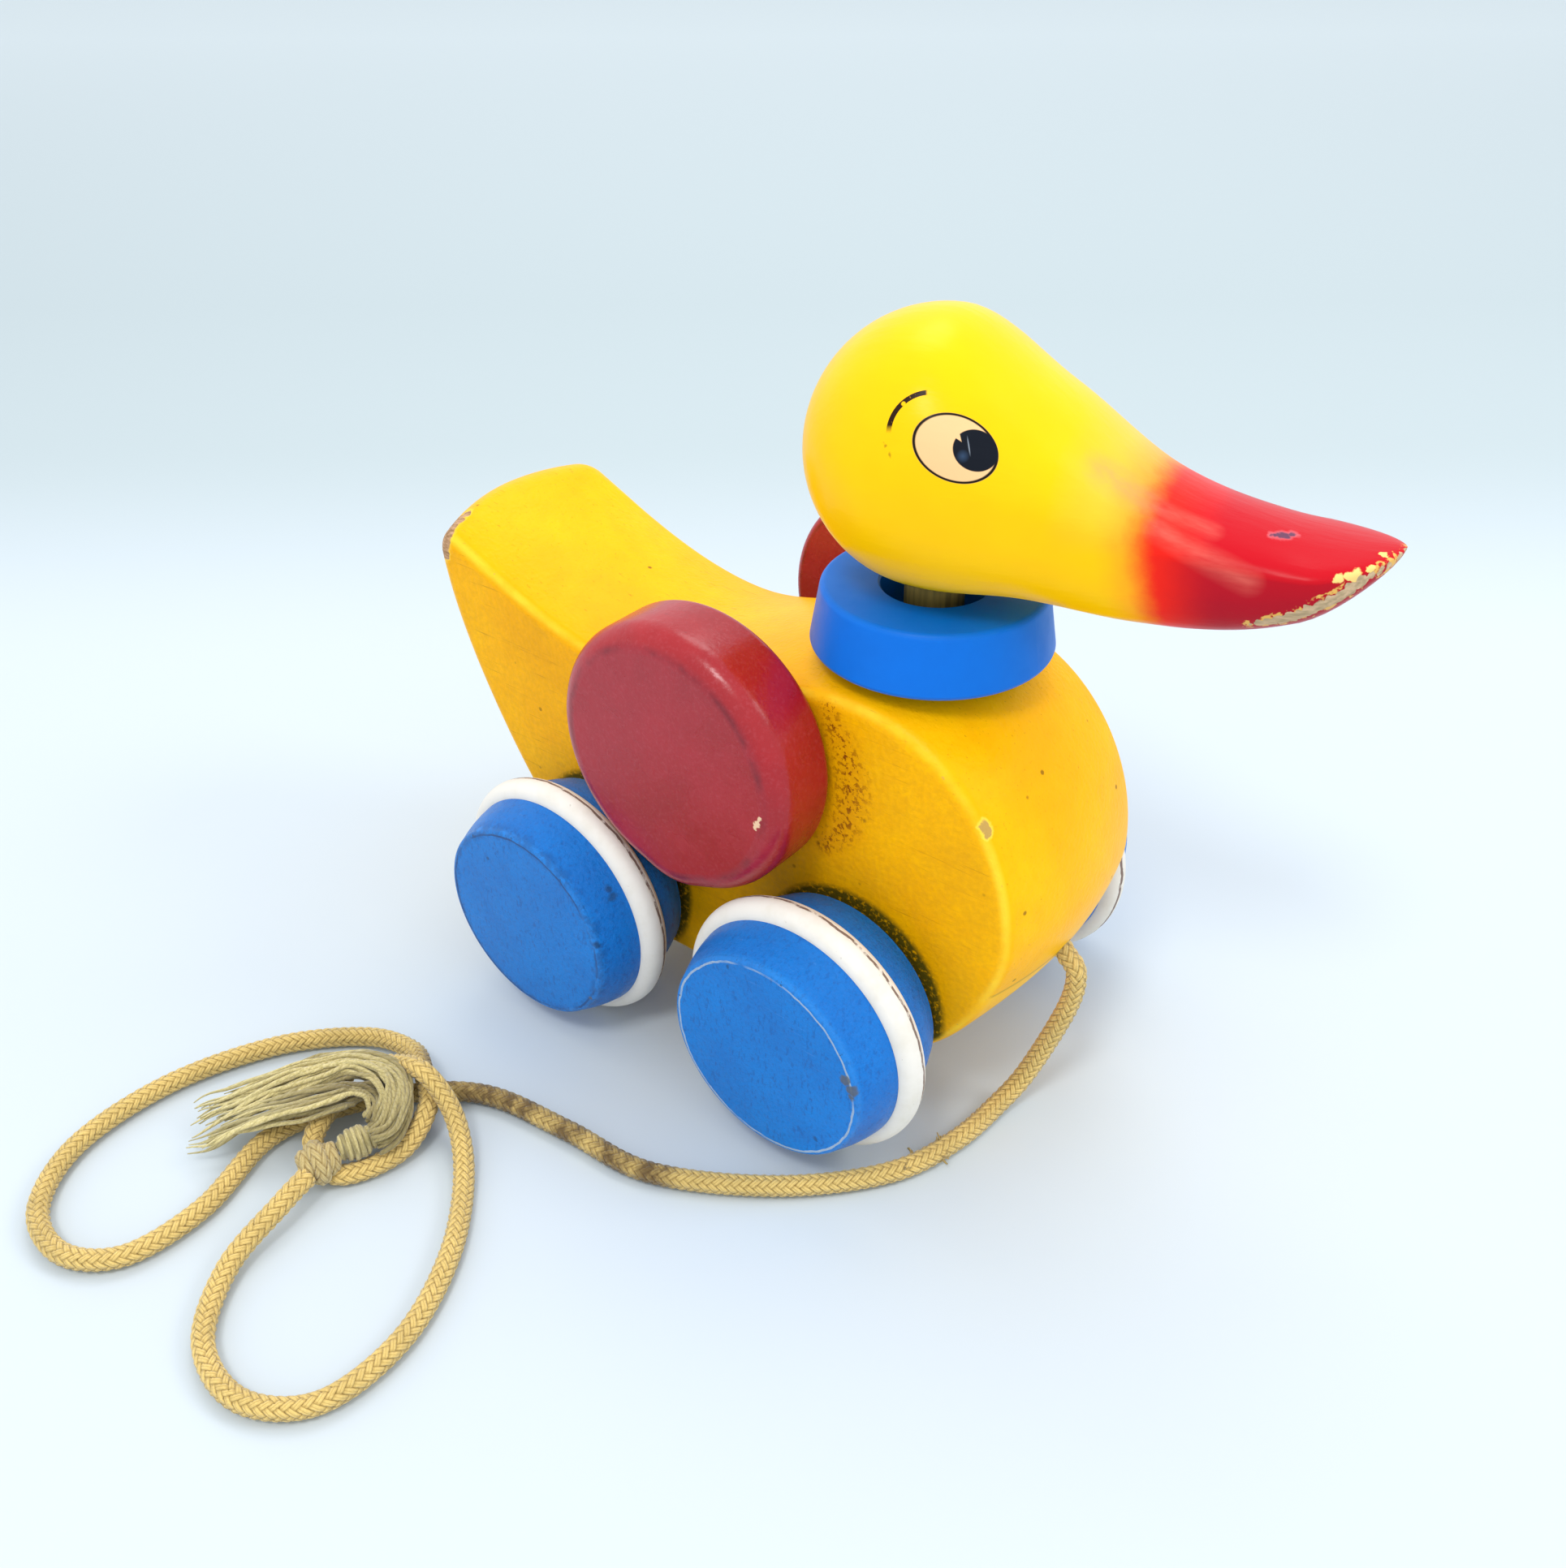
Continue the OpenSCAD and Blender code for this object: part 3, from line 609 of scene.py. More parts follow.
def frayed_cotton():
    """Unlaid cotton yarn: straw-coloured two-ply twist, grey where it leaves the knot, with painted shade in
    its grooves and inside the tassel's bend.
    """
    f = Finish("frayed_cotton")
    run = f.add("UVMap", uv_map="run")
    along_m, turn = (f.add("SeparateXYZ", [run], k) for k in "XY")
    # Two plies that go once round in 4 mm, with painted shade in the grooves between them
    lay = f.add("Math", [along_m, 250.0, turn], operation="MULTIPLY_ADD")
    ply = f.add("Math", [lay, 2.0], operation="MULTIPLY")
    ridge = f.add("Math", [ply, 0.5], operation="PINGPONG")
    groove_shade = f.add("MapRange", [ridge, 0.2, 0.0, 0.0, 0.35])
    number = f.add("Math", [turn], operation="FLOOR")
    tone = f.add("TexWhiteNoise", {"W": number}, "Value", noise_dimensions="1D")
    grey = f.add("MapRange", [tone, 0.45, 0.95, 0.0, 0.85])
    fibre = f.add("TexNoise", {"Vector": f.mm, "Scale": 2.5, "Detail": 4.0, "Roughness": 0.7})
    pale = f.add("MapRange", [fibre, 0.4, 0.65])
    # The yarns inside the bend carry painted shade near the root; the root is greyer and the tips paler, by
    # metres along the yarn
    inner = f.add("Math", [number, INNER_YARNS - 0.5], operation="GREATER_THAN")
    dirt_and_shade = f.product(inner, f.add("MapRange", [along_m, 0.052, 0.03]))
    root = f.add("MapRange", [along_m, 0.034, 0.0, 0.0, 0.75])
    tip = f.add("MapRange", [along_m, 0.045, 0.07, 0.0, 0.6])
    colour = f.layers(
        tint("#BCAD70"), (pale, "#D9CC96"), (grey, "#8A7E56"), (tip, "#DED6A0"), (dirt_and_shade, 0.8, "#5E5236"),
        (root, "#7E724A"), (groove_shade, "#665830"))
    return cotton(f, colour, 0.9, fibre, ridge, 0.6)


def braid_radii(s, radius, pitch):
    """Radii of a braid whose strands go over two and under two, by ring and side."""
    turn = np.arange(BRAID_SIDES)[None, :] / BRAID_SIDES
    a = STRANDS * (turn - s[:, None] / pitch)
    b = STRANDS * (turn + s[:, None] / pitch)
    i, j = np.floor(a), np.floor(b)
    rise, half = 0.10 * radius, 0.26 * radius
    swell_a, swell_b = (np.sqrt(np.clip(1 - (2 * (v - k) - 1) ** 2, 0, 1)) for v, k in ((a, i), (b, j)))
    top_a = rise * np.cos(np.pi / 2 * (b - 0.5 + i) - np.pi / 4) + half * swell_a
    top_b = -rise * np.cos(np.pi / 2 * (a - 0.5 + j) - np.pi / 4) + half * swell_b
    return radius - rise - half + np.maximum(top_a, top_b)


def make_tufts(line):
    """Pulled fibres that stand off the cord where it has chafed."""
    fibres, steps, sides, longest, floor_z = 7, 9, 6, 4.0, 0.4
    draw = random.Random(5)
    found = []
    for tip in np.array(TUFTS):
        root = line[np.argmin(np.linalg.norm(line - tip, axis=1))]
        for _ in range(fibres):
            away = (tip - root) * draw.uniform(0.6, 1.1) + [draw.uniform(-1.1, 1.1) for _ in "xyz"]
            away *= min(1.0, longest / np.linalg.norm(away))
            end = root + away
            end[2] = max(end[2], floor_z)
            bend = root + 0.6 * away + [draw.uniform(-0.7, 0.7) for _ in "xyz"]
            way = bezier(root, bend, bend, end, steps)
            thin = np.repeat(np.linspace(0.3, 0.12, steps)[:, None], sides, 1)
            found.append(tube("fibre", way, thin, np.linspace(0, 1, steps)))
    return found


def make_knot(radius, pitch):
    """Two turns of the cord drawn tight about its own strand."""
    turns, girth, length, squeezed, steps = 2.3, 2.5, 4.9, 0.86, 160
    axis = unit(np.array(KNOT_AXIS))
    side = unit(np.cross(axis, (0, 0, 1.0)))
    top = np.cross(side, axis)
    t = np.linspace(0, 1, steps)[:, None]
    a = 2 * np.pi * turns * t
    wide = girth * np.sin(np.pi * np.clip(t, 0.06, 0.94)) ** 0.4
    line = np.array(KNOT_AT) + (t - 0.5) * length * axis + wide * (np.cos(a) * side + np.sin(a) * top)
    line, s = spaced(line, KNOT_STEP)
    knot = tube("loop_knot_turns", line, braid_radii(s, squeezed * radius, pitch), s)
    dirt_and_shade = plaited_cotton("knotted_cotton", tint("#D0BD84"), tint("#97845A"), pitch * MM, 0.7)
    seat(knot, dirt_and_shade, "duck", "loop_knot")
    return knot


def make_bulge(yarn):
    """The bound end: loose yarn wound forth and back over a swollen core."""
    turns, thin, belly, yarn_r = 10.5, 1.5, 1.1, 0.42
    steps, yarn_sides, core_sides = 1200, 10, 24
    line, s = spaced(np.array([BULGE_FROM, BULGE_TO], float), WINDING_STEP)
    u, v = (w[0] for w in carried(line))
    t = np.linspace(0, 1, steps)[:, None]
    share = 1 - abs(1 - 2 * t)
    a = 2 * np.pi * turns * t + 0.7 * np.sin(17 * t)
    swell = thin + belly * np.sin(np.pi * share) ** 0.8 + 0.22 * np.sin(41 * t) * share
    way = line[0] + share * (line[-1] - line[0]) + swell * (np.cos(a) * u + np.sin(a) * v)
    way, run = spaced(way, WINDING_STEP)
    wound = tube("winding", way, np.full((len(way), yarn_sides), yarn_r), 0.3 * run)
    solid = thin + belly * np.sin(np.pi * s / s[-1]) ** 0.8
    core = tube("core", line, np.repeat(solid[:, None], core_sides, 1), 0.1 * s)
    bulge = joined("cord_whipping_bulge", [wound, core])
    seat(bulge, yarn, "duck", "cord_whipping")
    return bulge


def make_tassel(sizes, yarn):
    """Many loose yarns in locks, which spread from the bulge, gape in the bend and droop to the floor."""
    lock_count, steps, sides, floor_z, step_mm = 19, 8, 8, 0.55, 0.85
    draw = random.Random(11)
    middle = spline(TASSEL_ROUTE, steps)
    wide, thick = (spline(np.array(t)[:, None], steps)[:, 0] for t in (TASSEL_W, TASSEL_T))
    heading = unit(np.gradient(middle, axis=0))
    side = unit(np.cross(heading, (0, 0, -1.0)))
    over = np.cross(heading, side)
    n = len(middle)
    share = np.arange(n) / (n - 1)
    fan = 1 + 0.25 * share ** 3
    spread = np.interp(share, [0, 0.25, 0.7, 1], [0.5, 0.24, 0.2, 0.34])
    gape = np.exp(-((share - 0.5) / 0.19) ** 2)
    locks = [(-1 + 2 * (k + draw.uniform(0.2, 0.8)) / lock_count, draw.uniform(-0.8, 1),
              draw.uniform(0, 6.28), draw.uniform(0.82, 1.0)) for k in range(lock_count)]
    yarns = []
    for k in range(sizes.yarn_count):
        out, up, wave, end = locks[k % lock_count]
        stop = int(n * min(1.0, end + draw.uniform(-0.06, 0.03)))
        a, b = draw.uniform(-1, 1), draw.uniform(-1, 1)
        across = fan * (0.85 * out + spread * a + 0.15 * np.sin(8 * share + wave)
                        + 0.09 * np.sin(21 * share + 9 * a) + 0.03 * np.sin(47 * share + 30 * b))
        across = across + (0.55 if out > 0.35 else -0.1) * gape
        high = (0.75 * up + spread * b + 0.22 * np.sin(7 * share + 2 * wave)
                + 0.1 * np.sin(23 * share + 7 * b))
        line = middle + (wide * across)[:, None] * side + (thick * high)[:, None] * over
        line = line[:stop]
        line[:, 2] = np.maximum(line[:, 2], floor_z)
        radius = sizes.yarn_diameter / MM / 2 * draw.uniform(0.8, 1.15)
        taper = np.interp(np.arange(stop) / (stop - 1), [0, 0.05, 0.85, 1], [0.7, 1, 1, 0.25])
        radii = np.repeat(radius * taper[:, None], sides, 1)
        number = k + INNER_YARNS if out > 0 and up < 0.5 else k
        yarns.append(tube(f"yarn_{k}", line, radii, np.arange(stop) * step_mm, number))
    tassel = joined("cord_tassel_yarns", yarns)
    seat(tassel, yarn, "duck", "cord_tassel")
    return tassel


class DUCK_OT_cord(bpy.types.Operator):
    """Braids the pull cord along its route, with its knot, its bound bulge and its tassel"""

    bl_idname = "duck.cord"
    bl_label = "Cord"

    def execute(self, context):
        """Lays the braid first, then the pieces on its far end."""
        sizes = context.scene.duck_sizes
        radius, pitch = sizes.cord_diameter / MM / 2, sizes.braid_pitch / MM
        start = np.array(CORD_EXIT) + CORD_DEEP * np.array([-math.cos(CORD_SLOPE), 0, math.sin(CORD_SLOPE)])
        line, s = spaced(np.concatenate([start[None], spline(ROUTE, SPAN_STEPS)]), CORD_STEP)
        braid = tube("pull_cord_braid", line, braid_radii(s, radius, pitch), s)
        cord = joined("pull_cord_braid", [braid] + make_tufts(line))
        plait = plaited_cotton("plaited_cotton", colours()["cotton"], tint("#BC9A50"), pitch * MM, 0.35)
        seat(cord, plait, "duck", "pull_cord")
        knot = make_knot(radius, pitch)
        yarn = frayed_cotton()
        bulge = make_bulge(yarn)
        tassel = make_tassel(sizes, yarn)
        return {"FINISHED"}


# Where the body's paint has suffered, as round places in mm: the rub is on both sides, with y taken positive
WING_RUB = [(23.5, 21, 80.2, 3.0), (24.4, 21, 77.5, 3.4), (25.8, 21, 75, 4.2), (27, 21, 72.4, 4.8),
            (27.8, 21, 70, 5.2), (28.2, 21, 66.5, 5.4), (28, 21, 63.1, 5.2), (27.2, 21, 60, 4.8),
            (26.4, 21, 57.4, 4.2), (24.6, 21, 54.8, 3.6), (23, 21, 53.1, 3.0)]
TAIL_BARE = [(-71.2, -18.6, 84.3, 2.8), (-70.6, -19.9, 82.8, 2.6), (-70.0, -20.8, 80.4, 1.6),
             (-71.2, -16.6, 85.8, 2.2), (-70.6, -14.2, 86.8, 1.3)]
CHEST_CHIP = [(53.3, -19.6, 69.4, 0.9), (53.6, -19.5, 68.4, 0.9)]

# The painted shade line across the breast, and the dark green rings round the axles, in mm
SHADE_LINE_X, SHADE_LINE_Z, GREEN_RING_R = 50.0, 35.8, 20.0

# The body's rounded and hollowed forms, in mm
CROWN, CROWN_FADE = 3.0, 22.0
BOW, BOW_FROM, BOW_TO, BOW_SLOPE = 2.0, 30.0, 70.0, 0.6
TAIL_FROM, TAIL_RUN = 54.0, 14.0
TAIL_ROUND_RIGHT, TAIL_ROUND_LEFT, TAIL_FLAT_LEFT = 0.3, 2.9, 1.8

# Bores, in mm
AXLE_BORE_R, WING_BORE_R, CORD_BORE_R, CORD_OVERRUN = 3.05, 3.02, 2.05, 8.0
NECK_BORE_R, NECK_FLOOR_Z, NECK_OPEN_Z = 5.02, 65.5, 92.0
HEAD_BORE_R, HEAD_BORE_DEEP = 5.05, 22.0


def yellow_enamel():
    """Brushed enamel on sawn beech: satin, with hairlines, dark green rings round the axles, rubbed red, a
    bare corner, and painted shade and highlights.
    """
    c = colours()
    f = Finish("yellow_enamel")
    x, out_y, z = f.mirrored()
    folded = f.add("CombineXYZ", [x, out_y, z])
    on_side = f.add("MapRange", [out_y, HALF_W - 0.9, HALF_W - 0.2])
    # Broad clouds of 25 mm, hairlines of 0.4 by 15 mm and dust specks every 7 mm
    warm = f.stipple(25.0, 0.35, 0.75)
    mottle = f.stipple(3.5, 0.4, 0.7)
    hair = f.streaks((0.3, 0.7, 0.5), (0.07, 2.4, 2.4), 0.63, 0.72)
    cell = f.add("TexVoronoi", {"Vector": f.mm, "Scale": 0.14}, "Distance")
    speck = f.add("MapRange", [cell, 0.075, 0.04])
    # Painted shade: the sides are darkened in a fine stipple and broad patches, for the lesser light they
    # get
    stipple_and_side_shade = f.product(on_side, f.stipple(0.9, 0.35, 0.65))
    side_shade_patches = f.product(on_side, f.stipple(16.0, 0.4, 0.7))
    # Red that the wings have left on the sides, a soft darker orange halo round it along the wing's edge,
    # and a broken dark green ring round each axle
    rub_and_gleam = f.product(f.spots(folded, WING_RUB, 0.95), f.stipple(0.85, 0.53, 0.58), on_side)
    haze = f.product(f.spots(folded, WING_RUB, 1.0), on_side)
    ring = f.add("MapRange", [f.from_axle(x, z), GREEN_RING_R + 0.7, GREEN_RING_R - 0.7])
    green_ring = f.product(ring, f.stipple(1.0, 0.3, 0.48), on_side)
    # Side edges, thin: a painted highlight along them, broken up by noise, and nicks
    lean = f.lean()
    rim = f.product(f.add("MapRange", [lean, 0.5, 0.72]), f.add("MapRange", [lean, 0.96, 0.82]))
    edge_highlight = f.product(rim, f.stipple(12.0, 0.3, 0.6))
    nick = f.product(rim, f.stipple(1.5, 0.68, 0.72))
    # Painted shade: a level dark line across the breast at the cord's hole, where it turns from the light
    # above; below it, painted light from the floor's bounce
    front = f.product(f.add("MapRange", [x, SHADE_LINE_X, SHADE_LINE_X + 3]),
                      f.add("MapRange", [out_y, HALF_W - 1, HALF_W - 2]))
    bounce_light = f.product(front, f.add("MapRange", [z, SHADE_LINE_Z + 0.6, SHADE_LINE_Z]))
    terminator_shade = f.product(bounce_light, f.add("MapRange", [z, SHADE_LINE_Z - 0.8, SHADE_LINE_Z]))
    bounce_light = f.product(bounce_light, f.add("MapRange", [z, SHADE_LINE_Z - 9.8, SHADE_LINE_Z - 0.8]))
    torn = f.ragged(1.6, 1.1)
    bare = f.spots(torn, TAIL_BARE, 0.12)
    chip = f.spots(torn, CHEST_CHIP, 0.3)
    chip_edge = f.spots(torn, CHEST_CHIP + TAIL_BARE, 0.3, grown=0.45)
    wood = f.grain((0.25, 2.2, 2.2), c["wood"], tint("#93704E"))
    colour = f.layers(
        c["yellow"], (warm, 0.6, "#EE9E00"), (mottle, 0.3, "#EFA400"), (hair, 0.55, "#A96C00"),
        (speck, 0.7, "#5A3A08"), (stipple_and_side_shade, 0.4, "#D99A0C"), (side_shade_patches, 0.25, "#C98E10"), (edge_highlight, 0.6, "#FFD83C"),
        (nick, "#C99A4A"), (bounce_light, 0.4, "#FFCE38"), (terminator_shade, 0.7, "#9C6C04"), (haze, 0.45, "#D08A08"),
        (rub_and_gleam, 0.85, "#701E08"), (green_ring, 0.9, "#26360C"), (chip_edge, 0.7, "#FFDC50"), (chip, "#BE9A52"),
        (bare, wood))
    # Brush skin of about 1 mm, sunk where it is bare
    peel = f.add("TexNoise", {"Vector": f.mm, "Scale": 1.1, "Detail": 3.0})
    height = f.add("Math", [bare, -1.0, peel], operation="MULTIPLY_ADD")
    dull = f.add("Math", [bare, green_ring], operation="MAXIMUM")
    rough = f.add("MapRange", [dull, 0.0, 1.0, 0.36, 0.75])
    return f.paint(colour, rough, height, lift=0.45, gloss=0.09)


def body_outline():
    """The body's outline on the middle line, clockwise from the tail's top, its curves' reaches in mm."""
    lean = 66
    tail, tail_r = np.array([-70, 81.5]), 6.8
    up, ahead = math.sin(math.radians(lean)), math.cos(math.radians(lean))
    top = tail + tail_r * np.array([ahead, up])
    end = tail - [tail_r, 0]
    hollow, shoulder, breast = np.array([-23, 74.0]), np.array([28, 85.5]), np.array([62.8, 47])
    keel_a, keel_b = np.array([30, 10.7]), np.array([-26, 10.7])
    return np.concatenate([
        bezier(top, top + 16 * np.array([up, -ahead]), hollow - [15, 0], hollow, 40),
        bezier(hollow, hollow + [15, 0], shoulder - [20, 0], shoulder, 40),
        bezier(shoulder, shoulder + [21.5, 0], breast + [0, 20], breast, 48),
        bezier(breast, breast - [0, 15], keel_a + [15.5, 0], keel_a, 40),
        bezier(keel_a, keel_a, keel_b, keel_b, 12),
        bezier(keel_b, keel_b - [20, 0], end + [2.5, -27], end, 48),
        arc(tail, tail_r, 180, lean, 24)[:-1]])


class DUCK_OT_body(bpy.types.Operator):
    """Models the crowned body block with its holes and paints it"""

    bl_idname = "duck.body"
    bl_label = "Body"

    def execute(self, context):
        """Lofts the outline across the thickness, then drills it."""
        edge = context.scene.duck_sizes.edge_radius / MM
        line = body_outline()
        d = unit(np.roll(line, -1, 0) - np.roll(line, 1, 0))
        out = np.stack([-d[:, 1], d[:, 0]], 1)
        # The outward direction is evened out, so that the rings don't cross in the tail's tight bend
        out = unit(sum(np.roll(out, k, 0) for k in range(-4, 5)))
        tail = np.clip((-line[:, 0] - TAIL_FROM) / TAIL_RUN, 0, 1)
        tail = tail * tail * (3 - 2 * tail)
        right, left = edge + TAIL_ROUND_RIGHT * tail, edge + TAIL_ROUND_LEFT * tail
        a = np.radians(np.linspace(0, 90, 11))
        shares = np.linspace(0, 1, 19)[1:-1]
        across = [(right * (1 - math.cos(t)) - HALF_W, right * (1 - math.sin(t))) for t in a]
        across += [((right - HALF_W) * (1 - k) + (HALF_W - left) * k, 0 * right) for k in shares]
        across += [(HALF_W - left * (1 - math.cos(t)), left * (1 - math.sin(t))) for t in a[::-1]]
        t = np.clip((-line[:, 0] - BOW_FROM) / (BOW_TO - BOW_FROM), 0, 1)
        rings = []
        for y, rounding in across:
            q = (y / HALF_W) ** 2
            drop = CROWN - np.where(y > 0, TAIL_FLAT_LEFT * tail, 0)
            inward = rounding + drop * q * np.clip((line[:, 1] - KEEL_Z) / CROWN_FADE, 0, 1)
            shift = (BOW * q * t * t * (3 - 2 * t))[:, None] * np.array([1, -BOW_SLOPE])
            p = line - out * inward[:, None] + shift
            rings.append([(x, w, max(z, KEEL_Z)) for (x, z), w in zip(p, y)])
        body = loft("body_block", rings)
        clear = HALF_W + 2 * OVERRUN
        for x, z in ((-AXLE_X, AXLE_Z), (AXLE_X, AXLE_Z), (0, WING_Z)):
            drill(body, (x, -clear, z), (x, clear, z), AXLE_BORE_R)
        drill(body, (NECK_X, 0, NECK_FLOOR_Z), (NECK_X, 0, NECK_OPEN_Z), NECK_BORE_R)
        way = np.array([math.cos(CORD_SLOPE), 0, -math.sin(CORD_SLOPE)])
        mouth = np.array(CORD_EXIT)
        drill(body, mouth - (CORD_DEEP + OVERRUN) * way, mouth + CORD_OVERRUN * way, CORD_BORE_R)
        smooth(body, 38)
        seat(body, yellow_enamel(), "duck", "body")
        return {"FINISHED"}


# The bill's length, rounded tip, and its top, underside and half width from the ball to the tip, in mm
BILL_LEN, TIP_LEN, TIP_LIFT = 69.5, 11.5, 0.8
BILL_TOP = [HEAD_R, 12.5, 1.6, -2.5, -3.7]
BILL_UNDER = [-HEAD_R, -19.6, -19.9, -17.4, -8.6]
BILL_HALF = [HEAD_R, 18.6, 14.1, 11.3, 11]
TIP_ANGLES = (8, 16, 24, 32, 40, 48, 56, 63, 70, 76, 81, 85, 88)

# How far out the bill's spray begins, in mm
SPRAY_X = 34.0

# The printed eye in the head's own frame, with y taken positive so that both sides carry one: directions,
# and along them the middles and half sizes in mm
EYE_OUT, EYE_FROM = (0.409, 0.837, 0.364), 10.0
EYE_AXES = (0.8857, -0.2685, -0.3784), (0.2184, -0.4771, 0.8518)
EYE_AT, EYE_HALF = (-0.55, -0.14), (6.29, 4.64)
PUPIL_AT, PUPIL_HALF = (2.16, 0.70), (3.3, 2.85)
NOTCH_AXES = (-0.8401, 0.5006, -0.2069), (0.3473, -0.5114, 0.7857)
NOTCH_AT = (-0.478, 0.991)
STREAK_AXES = (0.2973, 0.2551, -0.9208), (0.8624, -0.4844, 0.1445)
STREAK_AT, STREAK_HALF = (-0.196, 1.332), (1.3, 0.11)
BROW_AXES = (0.898, -0.439, 0.0), (-0.160, -0.327, 0.932)
BROW_MIDDLE, BROW_R, BROW_HALF_W = (-4.0, 2.0, 0), 5.87, 0.34
BROW_FRONT, BROW_LOW = -4.4, 2.2

# Marks on the head in its own frame, in mm: round places, and strokes with a start, an end and a radius
BILL_BARE = [
    (51.5, -9.7, -14.6, 0.5), (52.9, -9.8, -14.0, 0.8), (54.2, -9.8, -13.5, 1.0), (55.6, -10, -12.8, 1.1),
    (56.9, -10.1, -12.1, 1.1), (58.1, -10.1, -11.2, 1.1), (59.3, -10, -10.3, 1.2), (60.5, -9.7, -9.5, 1.2),
    (61.7, -9.3, -8.8, 1.2), (62.8, -8.7, -8, 1.3), (63.8, -8, -7, 1.2), (65, -7, -6.1, 1.0),
    (66, -6.1, -5.4, 0.8), (67, -5, -4.9, 0.6), (67.8, -3.9, -4.6, 0.6), (68.9, -2.1, -3.6, 0.6),
    (69.6, -0.5, -3.1, 0.6), (69.2, 1.6, -3.6, 0.5), (68.2, 3.6, -4.4, 0.4), (66.6, 5.6, -5, 0.4)]
BILL_FLECKS = [
    (62.1, -9.1, -5.2, 0.9), (63.2, -8.3, -5.0, 0.7), (64.1, -7.9, -5.0, 1.1), (65.6, -6.2, -4.2, 0.7),
    (66.7, -2.9, -3.3, 0.6), (66.9, -3.4, -3.5, 0.4)]
BILL_DENT = [
    (51.9, -4.4, -2.8, 0.6), (52.6, -4.0, -2.9, 0.9), (53.3, -3.5, -2.9, 1.0), (54.1, -2.6, -2.8, 0.7)]
# Painted highlights along the bill's ridge, as pale pink gleams
RIDGE_GLEAMS = [((27.6, -8.6, 4.3), (33.9, -8.1, 0.9), 4.2), ((32.5, -8.3, 1.7), (43.5, -7.7, -2.2), 2.4),
              ((36.5, -11.2, -1.7), (50.5, -11.6, -7.3), 2.6)]
BROW_BREAK = [(-0.1, 17.5, 12.9, 0.4)]
PUPIL_BLUE_PATCH = [(9.6, 18.6, 7.1, 1.0)]
HEAD_FLECKS = [(-0.5, -20.7, 6.3, 0.45), (0.3, -20.7, 6.1, 0.3), (-1.6, -20.4, 7.6, 0.3)]


